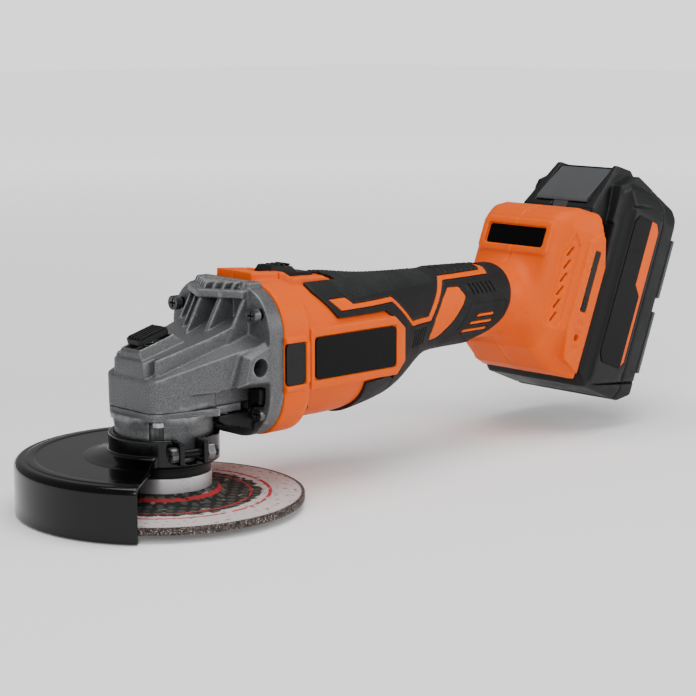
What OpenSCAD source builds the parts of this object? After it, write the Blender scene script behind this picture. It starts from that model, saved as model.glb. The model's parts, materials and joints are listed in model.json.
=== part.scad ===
// Cordless angle grinder with its battery pack.
// The spindle stands on the Z axis and the clamping nut's lower face is at z = 0.
// The motor axis lies along +X, from the gear head at the front to the battery at the rear.

/* [Grinding disc] */
// Outside diameter of the disc
disc_d = 125; // [115:5:125]
// Thickness of the disc
disc_t = 3.2; // [2:0.2:6]
// How far the disc's centre is raised above its rim
disc_raise = 4; // [3:0.5:5]
// Bore of the disc
disc_bore_d = 22.2; // [22:0.1:22.6]

/* [Wheel guard] */
// Gap between the disc's edge and the guard's wall
guard_gap = 2.4; // [2:0.2:8]
// Sheet thickness of the guard
guard_t = 1.6; // [1.2:0.2:2.4]
// Height of the guard's skirt below its top plate
guard_depth = 24; // [22:1:30]
// Angle covered by the guard
guard_cover = 180; // [150:10:200]
// Direction that the middle of the guard faces at rest
guard_facing = 132; // [90:2:180]
// Direction of the guard's clamp screw
clamp_facing = -104; // [-110:2:-60]

/* [Spindle] */
// Thread diameter of the spindle
thread_d = 14; // [12:1:14]
// Thickness of the clamping nut's flange
nut_t = 5; // [4:0.5:7]
// Diameter of the clamping nut
nut_d = 40; // [36:1:42]
// Pitch circle of the nut's pin spanner holes
spanner_pcd = 30; // [28:1:32]
// Diameter of the pin spanner holes
spanner_hole_d = 5; // [4:0.5:5.5]
// Diameter of the inner flange
flange_d = 42; // [40:1:44]
// Thickness of the inner flange's rim
flange_t = 6.7; // [5:0.5:8]

/* [Gear head] */
// Outside diameter of the neck that carries the guard
neck_d = 44; // [43:1:48]
// Height of the gear head's underside above the nut
head_bottom = 40.6; // [38:0.5:44]
// Height of the motor axis above the nut
axis_h = 61.5; // [60:0.5:66]
// Half the width of the gear head at its front
head_front_w = 19; // [19:0.5:22]
// Half the size of the square flange between head and motor
flange_half = 34.5; // [34.5:0.5:38]
// Diameter of the side handle holes
handle_hole_d = 8; // [8:0.5:10]
// Depth of the side handle holes
handle_hole_depth = 12; // [8:1:14]
// Distance of the side handle holes behind the spindle
handle_hole_x = 27.5; // [26:0.5:28]

/* [Gears] */
// Teeth on the crown gear
crown_teeth = 31; // [27:1:33]
// Teeth on the pinion
pinion_teeth = 10; // [9:1:11]
// Size of the teeth, as pitch diameter over teeth
gear_module = 1; // [0.9:0.05:1]

/* [Motor housing] */
// Radius of the motor barrel
barrel_r = 33; // [32:0.5:36]
// Wall thickness of the plastic housing
shell_wall = 2.6; // [2:0.2:3]
// Length of the square collar behind the gear head
collar_l = 15; // [12:1:18]
// Length of the motor's stator
stator_l = 36; // [30:1:36]

/* [Grip] */
// Radius of the handle under the rubber
core_r = 18.8; // [17:0.2:20]
// Thickness of the rubber
rubber_t = 1.5; // [1:0.1:2]
// Height of the handle's axis above the nut
handle_h = 70.3; // [68:0.5:72]
// Where the handle's axis meets the battery, behind the spindle
foot_x = 261.4; // [255:1:300]

/* [Battery] */
// How far the battery leans back
foot_tilt = 22; // [15:1:24]
// Width of the battery
battery_w = 74; // [74:1:80]
// Depth of the battery behind the foot
battery_depth = 48.5; // [47:0.5:56]
// Diameter of a cell
cell_d = 18.2; // [18:0.1:18.4]
// Length of a cell
cell_l = 65; // [60:1:65]

/* [Moving parts] */
// Travel of the spindle lock button
lock_travel = 3.5; // [2.5:0.5:4]
// Travel of the power switch
switch_travel = 7; // [5:0.5:7]

/* [Hidden] */
$fn = 96;
hull_fn = 32;
gap = 0.15;            // between pieces that touch
run_gap = 0.05;        // radial clearance of a running fit
big = 400;

cast = "#8c8e90";
steel = "#b9bcc0";
dark_steel = "#2a2b2d";
orange = "#f26a12";
rubber = "#343639";
black = "#1b1c1f";
copper = "#b8622a";

// ---- heights and radii that follow from the driving sizes ----
disc_r = disc_d / 2;
disc_seat_z = nut_t;                             // underside of the disc's raised centre
flange_z = disc_seat_z + disc_t;                 // underside of the inner flange
disc_rim_z = disc_seat_z - disc_raise;           // underside of the disc's rim
disc_flat_r = flange_d / 2 + 0.5;                // radius of the raised centre
disc_rim_r = disc_flat_r + 7;                    // where the rim's flat face begins
guard_r = disc_r + guard_gap + guard_t;
guard_rim_z = disc_rim_z - 3;
guard_top_z = guard_rim_z + guard_depth;
guard_lip = 3;                                   // how far the guard's lower edge turns in
guard_lip_h = 4;
neck_r = neck_d / 2;
band_t = 2.4;                                    // thickness of the guard's clamp band
band_r = neck_r + 0.3;
band_top_z = guard_top_z + 11;
lug_gap = 9;                                     // space between the clamp's two lugs
clamp_screw_r = 2;
clamp_screw_off = band_r + band_t + 3.4;         // from the spindle's axis to the clamp screw's
clamp_screw_z = band_top_z - 5.5;

cover_t = 3.7;                                   // thickness of the bearing cover's plate
housing_z = head_bottom + cover_t;               // underside of the gear housing
spindle_r = thread_d / 2 - run_gap;
journal_r = 7.5;                                 // 15 x 35 x 11 ball bearing
spindle_bearing_r = 17.5;
spindle_bearing_w = 11;
neck_z = guard_top_z - 0.2;                      // the neck ends level with the guard's plate
spindle_bearing_z = neck_z + 3;
gear_seat_r = 5.5;
top_journal_r = 4.5;                             // 9 x 13 x 10 needle bearing
needle_r = 6.5;
needle_l = 10;
crown_r = crown_teeth * gear_module / 2;
pinion_r = pinion_teeth * gear_module / 2;
cone_l = sqrt(crown_r * crown_r + pinion_r * pinion_r);
face_w = cone_l / 3;                             // length of the teeth along the cone
crown_pitch_z = axis_h - pinion_r;
crown_tip_z = crown_pitch_z + gear_module;
needle_z = axis_h - 2;
web_top_z = crown_pitch_z - 3.6;
web_t = 3.4;
lock_r = 8;                                      // from the spindle's axis to the lock pin
lock_pin_r = 1.5;
lock_hole_r = 1.8;
chamber_r = crown_r + 1.3;

head_front_x = -18;
head_corner_r = 5;
head_rear_w = 21;                                // half the width of the head's lower body at the flange
head_flare_w = 30;                               // and of its upper body
shoulder_z = axis_h - 1.5;                       // top of the gear head's upright sides
plateau_front_z = axis_h + 7;
plateau_rear_z = axis_h + 20;
tower_w = 18;                                  // half the width of the air outlet
tower_front_x = 17;
tower_top_x = 27.5;
tower_top_z = axis_h + 34.3;
flange_x = 41;                                   // rear face of the gear housing
flange_plate_x = 33;
flange_corner_r = 22;
boss_front_x = 12;
boss_half_h = 9.7;
screw_y = 27.5;                                    // gearbox screws, from the motor's axis
screw_z = 22.3;
screw_r = 2.1;
screw_head_r = 3.4;
screw_seat_x = 31;                               // seat of the upper pair; the lower pair sits on the baffle
baffle_x = 33.8;                                 // front face of the air baffle
baffle_half = 31;
baffle_rear_x = 37;
pedestal_w = 7.6;
button_l = 16.5;
button_w = 11;
button_x = -lock_r;
button_tilt = 15.5;
button_z = axis_h + 13.3;                        // underside of the lock button
button_t = 3.2;
button_shift = (lock_travel + 0.6) * sin(button_tilt);   // how far it slides along its own slope
lock_spring_r = 3.2;
spring_seat_z = needle_z + needle_l + 0.6;

front_bearing_x = 22;                            // 8 x 22 x 7 ball bearing
front_bearing_r = 11;
front_bearing_w = 7;
shaft_r = 4;
rear_bearing_r = 9.5;                            // 6 x 19 x 6 ball bearing
rear_bearing_w = 6;
rear_journal_r = 3;

collar_x = flange_x + gap;
barrel_x = collar_x + collar_l;
fan_x = flange_x + 3;
fan_w = 9;
fan_r = 24.5;
fan_blades = 11;
fan_blade_r = 11;                                  // radius at which each blade starts
fan_blade_turn = 24;                               // angle of a blade to its radius
fan_blade_l = sqrt(pow(fan_r - 1, 2) - pow(fan_blade_r * sin(fan_blade_turn), 2))
    - fan_blade_r * cos(fan_blade_turn);           // a blade ends inside the fan's radius
stator_x = barrel_x + 3;
stator_r = 26.6;
rotor_r = 14;
air_gap = 0.6;
rear_bearing_x = stator_x + stator_l + 8;
shell_in_r = barrel_r - shell_wall;
plate_l = 51;                                    // length of the name plates
plate_h = 19;
plate_x = barrel_x + 4.4;
badge_l = 11.2;
badge_h = 18.8;
badge_x = collar_x + badge_l / 2 + 0.4;            // middle of the badges on the collar's sides
knob_x = collar_x + 17;                            // front of the switch knob when it is off
knob_l = 26.8;
pad_y = barrel_r + 1;                            // face of the raised panel behind each plate
pad_rear_x = plate_x + plate_l + 6;
shoulder_x = barrel_x + 36;                      // where the barrel begins to narrow
shoulder_mid_x = shoulder_x + 16;
shoulder_rear_x = shoulder_x + 26;
handle_x = shoulder_x + 53;

rail_w = 22;                                     // half the width of the battery's rail block
rail_h = 13.8;
rail_neck_w = 18.5;
rail_neck_h = 5;
rail_low = -28;
foot_front = -37.5;
foot_low = -46;
foot_high = 37;
foot_w = 34;
foot_front_w = 22;
foot_front_low = -30;
foot_front_high = 31;
channel_wall = 2.6;
battery_low = -48;
battery_high = 68;
hood_w = 24;
hood_top = 72;
case_split = 33;                                 // where the battery's two cases meet
case_wall = 1.8;
battery_gap = 0.5;
cell_pitch = cell_d + 0.3;
cell_rows = 5;
cell_low = battery_low + case_wall + 0.6;        // underside of the lowest cells
cell_start = battery_gap + case_wall + 1.4;        // the cells clear the chamfer at the case's foot
cell_top = cell_low + cell_rows * cell_pitch;
blade_y = [-12, -4, 4, 12];
blade_t = 0.8;

// ---- frames and shared shapes ----

// Places children, drawn along Z, along the motor's axis from x
module on_motor(x) translate([x, 0, axis_h]) rotate([0, 90, 0]) children();

// Places children, drawn along Z, along the handle's axis from x
module on_handle(x) translate([x, 0, handle_h]) rotate([0, 90, 0]) children();

// The battery's frame: X backwards out of the tool, Z along the battery's slide
module foot_frame() translate([foot_x, 0, handle_h]) rotate([0, foot_tilt, 0]) children();

module half_space(side) translate([-big / 2, side > 0 ? 0 : -big, -big / 2]) cube([2 * big, big, 2 * big]);

module tube(r_out, r_in, h) difference() {
    cylinder(r = r_out, h = h);
    translate([0, 0, -1]) cylinder(r = r_in, h = h + 2);
}

module box(x0, x1, y0, y1, z0, z1) translate([x0, y0, z0]) cube([x1 - x0, y1 - y0, z1 - z0]);

// A plate with round corners, drawn in XY about the origin
module round_plate(half_x, half_y, r, h) {
    translate([-half_x + r, -half_y, 0]) cube([2 * (half_x - r), 2 * half_y, h]);
    translate([-half_x, -half_y + r, 0]) cube([2 * half_x, 2 * (half_y - r), h]);
    for (sx = [-1, 1], sy = [-1, 1])
        translate([sx * (half_x - r), sy * (half_y - r), 0]) cylinder(r = r, h = h);
}

// A profile in X and Z, drawn out to half_w on each side of the middle
module side_profile(points, half_w) rotate([90, 0, 0])
    translate([0, 0, -half_w]) linear_extrude(2 * half_w) polygon(points);

// A pan-head screw with a cross recess, pointing down from the origin
module pan_screw(r, head_r, head_h, l) {
    difference() {
        union() {
            cylinder(r = head_r, h = head_h);
            translate([0, 0, -l]) cylinder(r = r, h = l + 0.1);
        }
        for (a = [0, 90]) rotate([0, 0, a])
            translate([-head_r * 0.6, -0.4, head_h * 0.45]) cube([head_r * 1.2, 0.8, head_h]);
    }
}

// The outer ring of a ball bearing, along Z
module outer_race(r_out, r_in, w) difference() {
    tube(r_out, r_out - (r_out - r_in) * 0.27, w);
    translate([0, 0, w / 2]) rotate_extrude()
        translate([(r_out + r_in) / 2, 0]) circle(r = ball_r(r_out, r_in) + run_gap);
}

module inner_race(r_out, r_in, w) difference() {
    tube(r_in + (r_out - r_in) * 0.27, r_in, w);
    translate([0, 0, w / 2]) rotate_extrude()
        translate([(r_out + r_in) / 2, 0]) circle(r = ball_r(r_out, r_in) + run_gap);
}

function ball_r(r_out, r_in) = (r_out - r_in) * 0.3;

module bearing_balls(r_out, r_in, w, count) for (i = [0 : count - 1])
    rotate([0, 0, i * 360 / count]) translate([(r_out + r_in) / 2, 0, w / 2])
        sphere(r = ball_r(r_out, r_in));

// ---- gear head ----

module head_lower_outline(z0, z1) hull() {
    for (s = [-1, 1]) {
        translate([head_front_x + head_corner_r, s * (head_front_w - head_corner_r), z0])
            cylinder(r = head_corner_r, h = z1 - z0, $fn = hull_fn);
        translate([flange_x - 8, s * (head_rear_w - 3), z0])
            cylinder(r = 3, h = z1 - z0, $fn = hull_fn);
    }
}

// The bevelled top of the head, rising towards the air outlet
module head_upper() hull() {
    for (s = [-1, 1]) {
        translate([head_front_x + head_corner_r, s * (head_front_w - head_corner_r), shoulder_z - 2])
            cylinder(r = head_corner_r, h = 2, $fn = hull_fn);
        translate([flange_x - 8, s * (head_flare_w - 3), shoulder_z - 2])
            cylinder(r = 3, h = 12, $fn = hull_fn);
        translate([head_front_x + 8, s * (head_front_w - 5), plateau_front_z - 2])
            sphere(r = 2, $fn = hull_fn);
        translate([flange_x - 8, s * (tower_w + 1), plateau_rear_z - 2])
            sphere(r = 2, $fn = hull_fn);
    }
}

module lock_pedestal() hull() for (s = [-1, 1]) {
    translate([button_x - button_l / 2 + 0.5, s * (pedestal_w - 2), shoulder_z])
        cylinder(r = 2, h = button_z - 1.2 - shoulder_z, $fn = hull_fn);
    translate([button_x + button_l / 2 + 1, s * (pedestal_w - 2), shoulder_z])
        cylinder(r = 2, h = button_z + 3 - shoulder_z, $fn = hull_fn);
}

module tower() side_profile([
    [tower_front_x, plateau_rear_z - 8], [tower_top_x, tower_top_z],
    [flange_x, tower_top_z], [flange_x, plateau_rear_z - 8]], tower_w);

module square_flange(x0, x1, half) translate([x0, 0, axis_h]) rotate([0, 90, 0])
    round_plate(half, half, flange_corner_r, x1 - x0);

module handle_boss(side) hull() {
    for (dz = [-boss_half_h + 2, boss_half_h - 2]) {
        translate([boss_front_x + 4 + (dz > 0 ? 2 : 0), side * (flange_half - 2), axis_h + dz])
            sphere(r = 2, $fn = hull_fn);
        translate([boss_front_x + 2, side * (head_rear_w - 8), axis_h + dz * 1.1])
            sphere(r = 2, $fn = hull_fn);
        translate([flange_x - 2, side * (flange_half - 2), axis_h + dz])
            sphere(r = 2, $fn = hull_fn);
        translate([flange_x - 2, side * (head_rear_w - 8), axis_h + dz])
            sphere(r = 2, $fn = hull_fn);
    }
}

module cover_screw_places() for (p = [[head_front_x + 3.4, head_front_w - 4.1], [20, 17]], s = [-1, 1])
    translate([p[0], s * p[1], head_bottom]) children();

module gearbox_screw_places() for (sy = [-1, 1], sz = [-1, 1])
    translate([sz > 0 ? screw_seat_x : baffle_x, sy * screw_y, axis_h + sz * screw_z]) rotate([0, 90, 0]) children();

// Slots in the front, top and sides of the air outlet
module outlet_slots() {
    bar = 2.2;
    slots = 4;
    pitch = (2 * (tower_w - 2.4) + bar) / slots;
    for (i = [0 : slots - 1]) translate([0, -tower_w + 2.4 + i * pitch, 0])
        rotate([90, 0, 0]) mirror([0, 0, 1]) linear_extrude(pitch - bar) polygon([
            [tower_front_x - 8, plateau_rear_z - 6], [tower_front_x + 9, plateau_rear_z - 2],
            [tower_top_x + 6, tower_top_z - 5.5], [tower_top_x - 8, tower_top_z - 5.5]]);
    top_slots = 6;
    top_pitch = (2 * (tower_w - 2.4) + 1.6) / top_slots;
    for (i = [0 : top_slots - 1])
        box(tower_top_x + 2, flange_x - 4, -tower_w + 2.4 + i * top_pitch,
            -tower_w + 0.8 + (i + 1) * top_pitch, tower_top_z - 6, tower_top_z + 1);
}

module gear_housing() color(cast) difference() {
    union() {
        head_lower_outline(housing_z, shoulder_z);
        head_upper();
        lock_pedestal();
        tower();
        square_flange(flange_plate_x, flange_x, flange_half);
        for (s = [-1, 1]) handle_boss(s);
    }
    // gear chamber, pinion tunnel and bearing seats
    translate([0, 0, housing_z - 1]) cylinder(r = chamber_r, h = crown_tip_z + 1.2 - housing_z + 1);
    translate([0, 0, housing_z]) cylinder(r = needle_r + gap, h = needle_z + needle_l - housing_z);
    on_motor(5) cylinder(r = pinion_r + 3, h = front_bearing_x - 5);
    on_motor(front_bearing_x) cylinder(r = front_bearing_r + run_gap, h = 30);
    // air space behind the bearing wall, and up into the outlet
    difference() {
        on_motor(front_bearing_x + 6) cylinder(r = 29.5, h = 30);
        on_motor(front_bearing_x) cylinder(r = front_bearing_r + 3.4, h = front_bearing_w + 1.5);
        box(0, tower_front_x + 9.5, -big, big, 0, big);
    }
    box(tower_front_x + 6, flange_x - 2.2, -tower_w + 2.4, tower_w - 2.4, plateau_rear_z - 12,
        tower_top_z - 5);
    outlet_slots();
    // windows beside the head where the air baffle shows
    difference() {
        baffle_corners(gap, 14);
        head_lower_outline(0, big);
    }
    // spindle lock
    translate([-lock_r, 0, housing_z]) cylinder(r = lock_pin_r + run_gap, h = big);
    translate([-lock_r, 0, spring_seat_z]) cylinder(r = lock_spring_r + 0.9, h = big);
    button_pocket();
    // threaded holes
    for (s = [-1, 1]) translate([handle_hole_x, s * flange_half, axis_h]) rotate([s * 90, 0, 0])
        translate([0, 0, -0.5]) cylinder(d = handle_hole_d, h = handle_hole_depth + 0.5);
    cover_screw_places() cylinder(r = 1.6, h = 16);
    gearbox_screw_places() {
        translate([0, 0, -30]) cylinder(r = screw_head_r + 0.6, h = 30);
        cylinder(r = screw_r + gap, h = 30);
    }
}

module button_pocket() translate([button_x, 0, button_z - lock_travel - 0.6])
    rotate([0, -button_tilt, 0]) translate([button_shift / 2, 0, 0])
        round_plate((button_l + button_shift) / 2 + 0.35, button_w / 2 + 0.35, 2.3, 30);

module bearing_cover() color(cast) difference() {
    union() {
        head_lower_outline(head_bottom, housing_z - 0.02);
        translate([0, 0, neck_z]) cylinder(r = neck_r, h = head_bottom - neck_z + 0.5);
        translate([0, 0, head_bottom - 5]) cylinder(r1 = neck_r, r2 = neck_r + 1, h = 5);
    }
    translate([0, 0, neck_z - 1]) cylinder(r = journal_r + 2.6, h = 60);
    translate([0, 0, spindle_bearing_z]) cylinder(r = spindle_bearing_r + run_gap, h = 60);
    box(flange_x - 13, flange_x, -big, big, 0, big);
    cover_screw_places() {
        cylinder(r = 1.5 + gap, h = 16);
        translate([0, 0, -6]) cylinder(r = 3 + gap, h = 6);
    }
}

module cover_screws() color(steel) cover_screw_places() rotate([180, 0, 0])
    translate([0, 0, gap]) pan_screw(1.5, 3, 2, cover_t + 9);

module gearbox_screws() color(dark_steel) gearbox_screw_places()
    rotate([180, 0, 0]) translate([0, 0, gap]) pan_screw(screw_r, screw_head_r, 3.4, 26);

module dust_ring() color(dark_steel) translate([0, 0, flange_z + flange_t + 0.5]) difference() {
    union() {
        cylinder(r = neck_r - 1.4, h = neck_z - flange_z - flange_t - 0.5 - gap);
        translate([0, 0, 3]) cylinder(r = neck_r - 0.6, h = 1.2);
    }
    translate([0, 0, -1]) cylinder(r = 13.4, h = 40);
}

module spindle_bearing_outer() color(steel) translate([0, 0, spindle_bearing_z])
    outer_race(spindle_bearing_r, journal_r, spindle_bearing_w);

module spindle_bearing_balls() color(steel) translate([0, 0, spindle_bearing_z])
    bearing_balls(spindle_bearing_r, journal_r, spindle_bearing_w, 9);

module needle_bearing() color(steel) translate([0, 0, needle_z])
    tube(needle_r, top_journal_r + run_gap, needle_l - gap);

// The baffle's two lower corners, which fill the windows in the gear housing's flange
module baffle_corners(grow, front) intersection() {
    square_flange(baffle_x - front, baffle_rear_x + grow, baffle_half + grow);
    box(0, flange_x, -big, big, 0, axis_h - boss_half_h - gap + grow);
    difference() {
        box(0, flange_x, -big, big, 0, big);
        box(-1, flange_x + 1, -head_rear_w - gap + grow, head_rear_w + gap - grow, -1, big + 1);
    }
}

// Black plastic ring around the fan, with two corners that show beside the gear head
module air_baffle() color(black) difference() {
    union() {
        on_motor(baffle_x) cylinder(r = 29.3, h = flange_x - baffle_x);
        on_motor(flange_x - 0.1) cylinder(r = fan_r + 1.7, h = barrel_x - flange_x - 0.4);
        baffle_corners(0, 0);
    }
    on_motor(0) cylinder(r = fan_r + 0.6, h = flange_x);
    on_motor(flange_x - 0.2) cylinder(r = fan_r + 0.6, h = fan_w + 4);
    on_motor(flange_x) cylinder(r = 19, h = 60);
    gearbox_screw_places() cylinder(r = screw_r + gap, h = 30);
}

// ---- motor ----

module front_bearing_outer() color(steel) on_motor(front_bearing_x + 0.05) {
    outer_race(front_bearing_r, shaft_r, front_bearing_w);
    bearing_balls(front_bearing_r, shaft_r, front_bearing_w, 7);
}

module rear_bearing_outer() color(steel) on_motor(rear_bearing_x) {
    outer_race(rear_bearing_r, rear_journal_r, rear_bearing_w);
    bearing_balls(rear_bearing_r, rear_journal_r, rear_bearing_w, 7);
}

module front_bearing_inner() color(steel) on_motor(front_bearing_x + 0.05)
    inner_race(front_bearing_r, shaft_r + gap / 2, front_bearing_w);

module rear_bearing_inner() color(steel) on_motor(rear_bearing_x)
    inner_race(rear_bearing_r, rear_journal_r + gap / 2, rear_bearing_w);

module stator_core() color("#5b5e63") on_motor(stator_x) difference() {
    tube(stator_r, rotor_r + air_gap, stator_l);
    for (i = [0 : 5]) rotate([0, 0, i * 60]) translate([rotor_r + 3, 0, -1]) {
        translate([0, -4.6, 0]) cube([stator_r - rotor_r - 6, 9.2, stator_l + 2]);
        translate([-6, -1.2, 0]) cube([8, 2.4, stator_l + 2]);
    }
}

module stator_coils() color(copper) on_motor(stator_x - 2.4) for (i = [0 : 5], s = [-1, 1])
    rotate([0, 0, i * 60]) translate([rotor_r + 3.4, s * 2.4 - 1.9, 0])
        cube([stator_r - rotor_r - 6.8, 3.8, stator_l + 4.8]);

module rotor_shaft() color(steel) union() {
    on_motor(crown_r - face_w - 1.6) cylinder(r = 2.2, h = face_w + 4);
    on_motor(crown_r + 2.4) cylinder(r = shaft_r, h = rear_bearing_x - crown_r - 2.4);
    on_motor(rear_bearing_x - 1) cylinder(r = rear_journal_r, h = rear_bearing_w + 2);
}

module rotor_magnets() color("#3c3f45") on_motor(stator_x + 1) tube(rotor_r, shaft_r + gap / 2, stator_l - 2);

// A pinion or crown tooth, from its large end towards the point where the axes cross
module bevel_tooth(add, ded, half_t, slope) linear_extrude(face_w, scale = (cone_l - face_w) / cone_l)
    polygon([
        [-ded, half_t + ded * slope], [add, half_t - add * slope],
        [add, -half_t + add * slope], [-ded, -half_t - ded * slope]]);

tooth_add = 0.75 * gear_module;
tooth_ded = 1.15 * gear_module;
tooth_half_t = 0.56 * gear_module;
tooth_slope = 0.42;
cone_a = atan2(crown_r, pinion_r);               // from the motor's axis plane down to the pitch line

module pinion_gear() color(steel) difference() {
    union() {
        for (i = [0 : pinion_teeth - 1]) translate([0, 0, axis_h]) rotate([i * 360 / pinion_teeth, 0, 0])
            translate([crown_r, 0, -pinion_r]) rotate([0, -cone_a, 0]) mirror([1, 0, 0])
                bevel_tooth(tooth_add, tooth_ded + 0.4, tooth_half_t, tooth_slope);
        on_motor(crown_r - face_w * crown_r / cone_l + 0.25) cylinder(
            r1 = pinion_r * (cone_l - face_w) / cone_l - 0.75, r2 = pinion_r - 1.15,
            h = face_w * crown_r / cone_l - 0.2);
        on_motor(crown_r - 0.1) cylinder(r = pinion_r - 0.9, h = 2.2);
    }
    on_motor(0) cylinder(r = 2.2 + gap / 2, h = 40);
}

module crown_gear() color(steel) difference() {
    union() {
        for (i = [0 : crown_teeth - 1]) rotate([0, 0, (i + 0.5) * 360 / crown_teeth])
            translate([crown_r, 0, crown_pitch_z]) rotate([0, -cone_a, 0])
                bevel_tooth(tooth_add, tooth_ded + 0.4, tooth_half_t, tooth_slope);
        rotate_extrude() polygon([
            [gear_seat_r, web_top_z - web_t - 4], [9, web_top_z - web_t - 4], [9, web_top_z - web_t],
            [crown_r - 0.5, web_top_z - web_t], [crown_r - 0.42, crown_pitch_z - tooth_ded - 0.1],
            [crown_r * (cone_l - face_w) / cone_l + 0.1, crown_pitch_z + 0.72],
            [crown_r * (cone_l - face_w) / cone_l - 0.25, web_top_z], [gear_seat_r, web_top_z]]);
    }
    translate([0, 0, 0]) cylinder(r = gear_seat_r + gap / 2, h = 80);
    for (a = [0 : 90 : 270]) rotate([0, 0, a]) translate([lock_r, 0, 0]) cylinder(r = lock_hole_r, h = 80);
}

module cooling_fan() color(black) on_motor(fan_x) {
    tube(8, shaft_r + gap / 2, fan_w);
    difference() {
        cylinder(r = fan_r, h = 1.6);
        translate([0, 0, -1]) cylinder(r = 7.9, h = 4);
    }
    for (i = [0 : fan_blades - 1]) rotate([0, 0, i * 360 / fan_blades])
        translate([fan_blade_r, 0, 1.5]) rotate([0, 0, fan_blade_turn])
            translate([0, -0.8, 0]) cube([fan_blade_l, 1.6, fan_w - 1.6]);
}

// ---- spindle and what turns with it ----

module spindle() color(steel) {
    translate([0, 0, 0.4]) cylinder(r = spindle_r, h = flange_z + flange_t + 2.1);
    translate([0, 0, flange_z + flange_t + 2.4]) cylinder(r = 10, h = spindle_bearing_z - flange_z - flange_t - 2.5);
    translate([0, 0, spindle_bearing_z - 0.2]) cylinder(r = journal_r, h = web_top_z - web_t - 4.1 - spindle_bearing_z);
    translate([0, 0, web_top_z - web_t - 5]) cylinder(r = gear_seat_r, h = web_t + 6);
    translate([0, 0, web_top_z]) cylinder(r = top_journal_r, h = needle_z + needle_l - 0.8 - web_top_z);
}

module spindle_bearing_inner() color(steel) translate([0, 0, spindle_bearing_z])
    inner_race(spindle_bearing_r, journal_r + gap / 2, spindle_bearing_w);

module inner_flange() color("#d7dadd") translate([0, 0, flange_z + 0.02]) difference() {
    union() {
        cylinder(r = flange_d / 2, h = flange_t);
        cylinder(r = 13, h = flange_t + 2.2);
    }
    translate([0, 0, -1]) cylinder(r = spindle_r + gap / 2, h = 40);
    translate([0, 0, -1]) tube(flange_d / 2 - 6, 11, 1.8);
}

// The disc's section: a flat rim and a raised centre joined by a slope
module grinding_disc() color("#4a3a36") rotate_extrude() polygon([
    [disc_bore_d / 2 + 0.6, disc_seat_z], [disc_flat_r, disc_seat_z], [disc_rim_r, disc_rim_z],
    [disc_r, disc_rim_z], [disc_r, disc_rim_z + disc_t], [disc_rim_r, disc_rim_z + disc_t],
    [disc_flat_r, disc_seat_z + disc_t], [disc_bore_d / 2 + 0.6, disc_seat_z + disc_t]]);

module disc_ring() color("#d8b25a") translate([0, 0, disc_seat_z])
    tube(disc_bore_d / 2 + 0.6 - run_gap, disc_bore_d / 2, disc_t);

module clamping_nut() color(dark_steel) difference() {
    union() {
        cylinder(r = nut_d / 2, h = nut_t - 0.02);
        cylinder(r = disc_bore_d / 2 - 0.1, h = nut_t + 1.8);
    }
    translate([0, 0, -1]) cylinder(r = thread_d / 2 + run_gap, h = 40);
    for (a = [0 : 90 : 270]) rotate([0, 0, a]) translate([spanner_pcd / 2, 0, -1])
        cylinder(d = spanner_hole_d, h = nut_t + 3);
}

// ---- wheel guard ----

module guard_section() polygon([
    [band_r, guard_top_z - guard_t], [guard_r - guard_t, guard_top_z - guard_t],
    [guard_r - guard_t, guard_rim_z + guard_lip_h], [guard_r - guard_t - guard_lip, guard_rim_z],
    [guard_r - guard_lip, guard_rim_z], [guard_r, guard_rim_z + guard_lip_h],
    [guard_r, guard_top_z - 1.5], [guard_r - 1.5, guard_top_z], [band_r, guard_top_z]]);

module clamp_frame() rotate([0, 0, clamp_facing]) children();

module wheel_guard() color(black) difference() {
    union() {
        rotate([0, 0, guard_facing - guard_cover / 2]) rotate_extrude(angle = guard_cover) guard_section();
        translate([0, 0, guard_top_z - guard_t]) tube(band_r + band_t, band_r, band_top_z - guard_top_z + guard_t);
        rotate([0, 0, guard_facing - guard_cover / 2]) rotate_extrude(angle = guard_cover) polygon([
            [band_r + 0.1, guard_top_z - 0.1], [band_r + 9, guard_top_z - 0.1], [band_r + 0.1, guard_top_z + 2.2]]);
        clamp_frame() for (s = [-1, 1]) box(band_r + 0.6, clamp_screw_off + 4,
            s > 0 ? lug_gap / 2 : -lug_gap / 2 - 2.4, s > 0 ? lug_gap / 2 + 2.4 : -lug_gap / 2,
            band_top_z - 10, band_top_z);
    }
    clamp_frame() box(band_r - 3, clamp_screw_off + 10, -lug_gap / 2, lug_gap / 2, guard_top_z - 0.01, big);
    clamp_frame() translate([clamp_screw_off, 0, clamp_screw_z]) rotate([90, 0, 0])
        cylinder(r = clamp_screw_r + gap, h = 60, center = true);
}

module guard_clamp_screw() color(dark_steel) clamp_frame()
    translate([clamp_screw_off, -lug_gap / 2 - 2.4 - gap, clamp_screw_z]) rotate([90, 0, 0])
        pan_screw(clamp_screw_r, 3.4, 3, lug_gap + 10.5);

module guard_clamp_nut() color(steel) clamp_frame()
    translate([clamp_screw_off, lug_gap / 2 + 2.4 + gap, clamp_screw_z]) rotate([-90, 0, 0]) difference() {
        cylinder(r = 4, h = 3.2, $fn = 6);
        translate([0, 0, -1]) cylinder(r = clamp_screw_r + run_gap, h = 10);
    }

// ---- spindle lock ----

module lock_button() color(black) difference() {
    translate([button_x, 0, button_z]) rotate([0, -button_tilt, 0]) {
        round_plate(button_l / 2, button_w / 2, 2, button_t - 0.8);
        for (i = [-2 : 2]) translate([0, i * 2, button_t - 1]) translate([-button_l / 2 + 1.2, -0.6, 0])
            cube([button_l - 2.4, 1.2, 1]);
    }
    translate([-lock_r, 0, 0]) cylinder(r = lock_pin_r + run_gap, h = button_z + 1.2);
}

module lock_pin() color(steel) {
    translate([-lock_r, 0, web_top_z + 1.5]) cylinder(r = lock_pin_r, h = button_z + 1 - web_top_z - 1.5);
}

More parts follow.
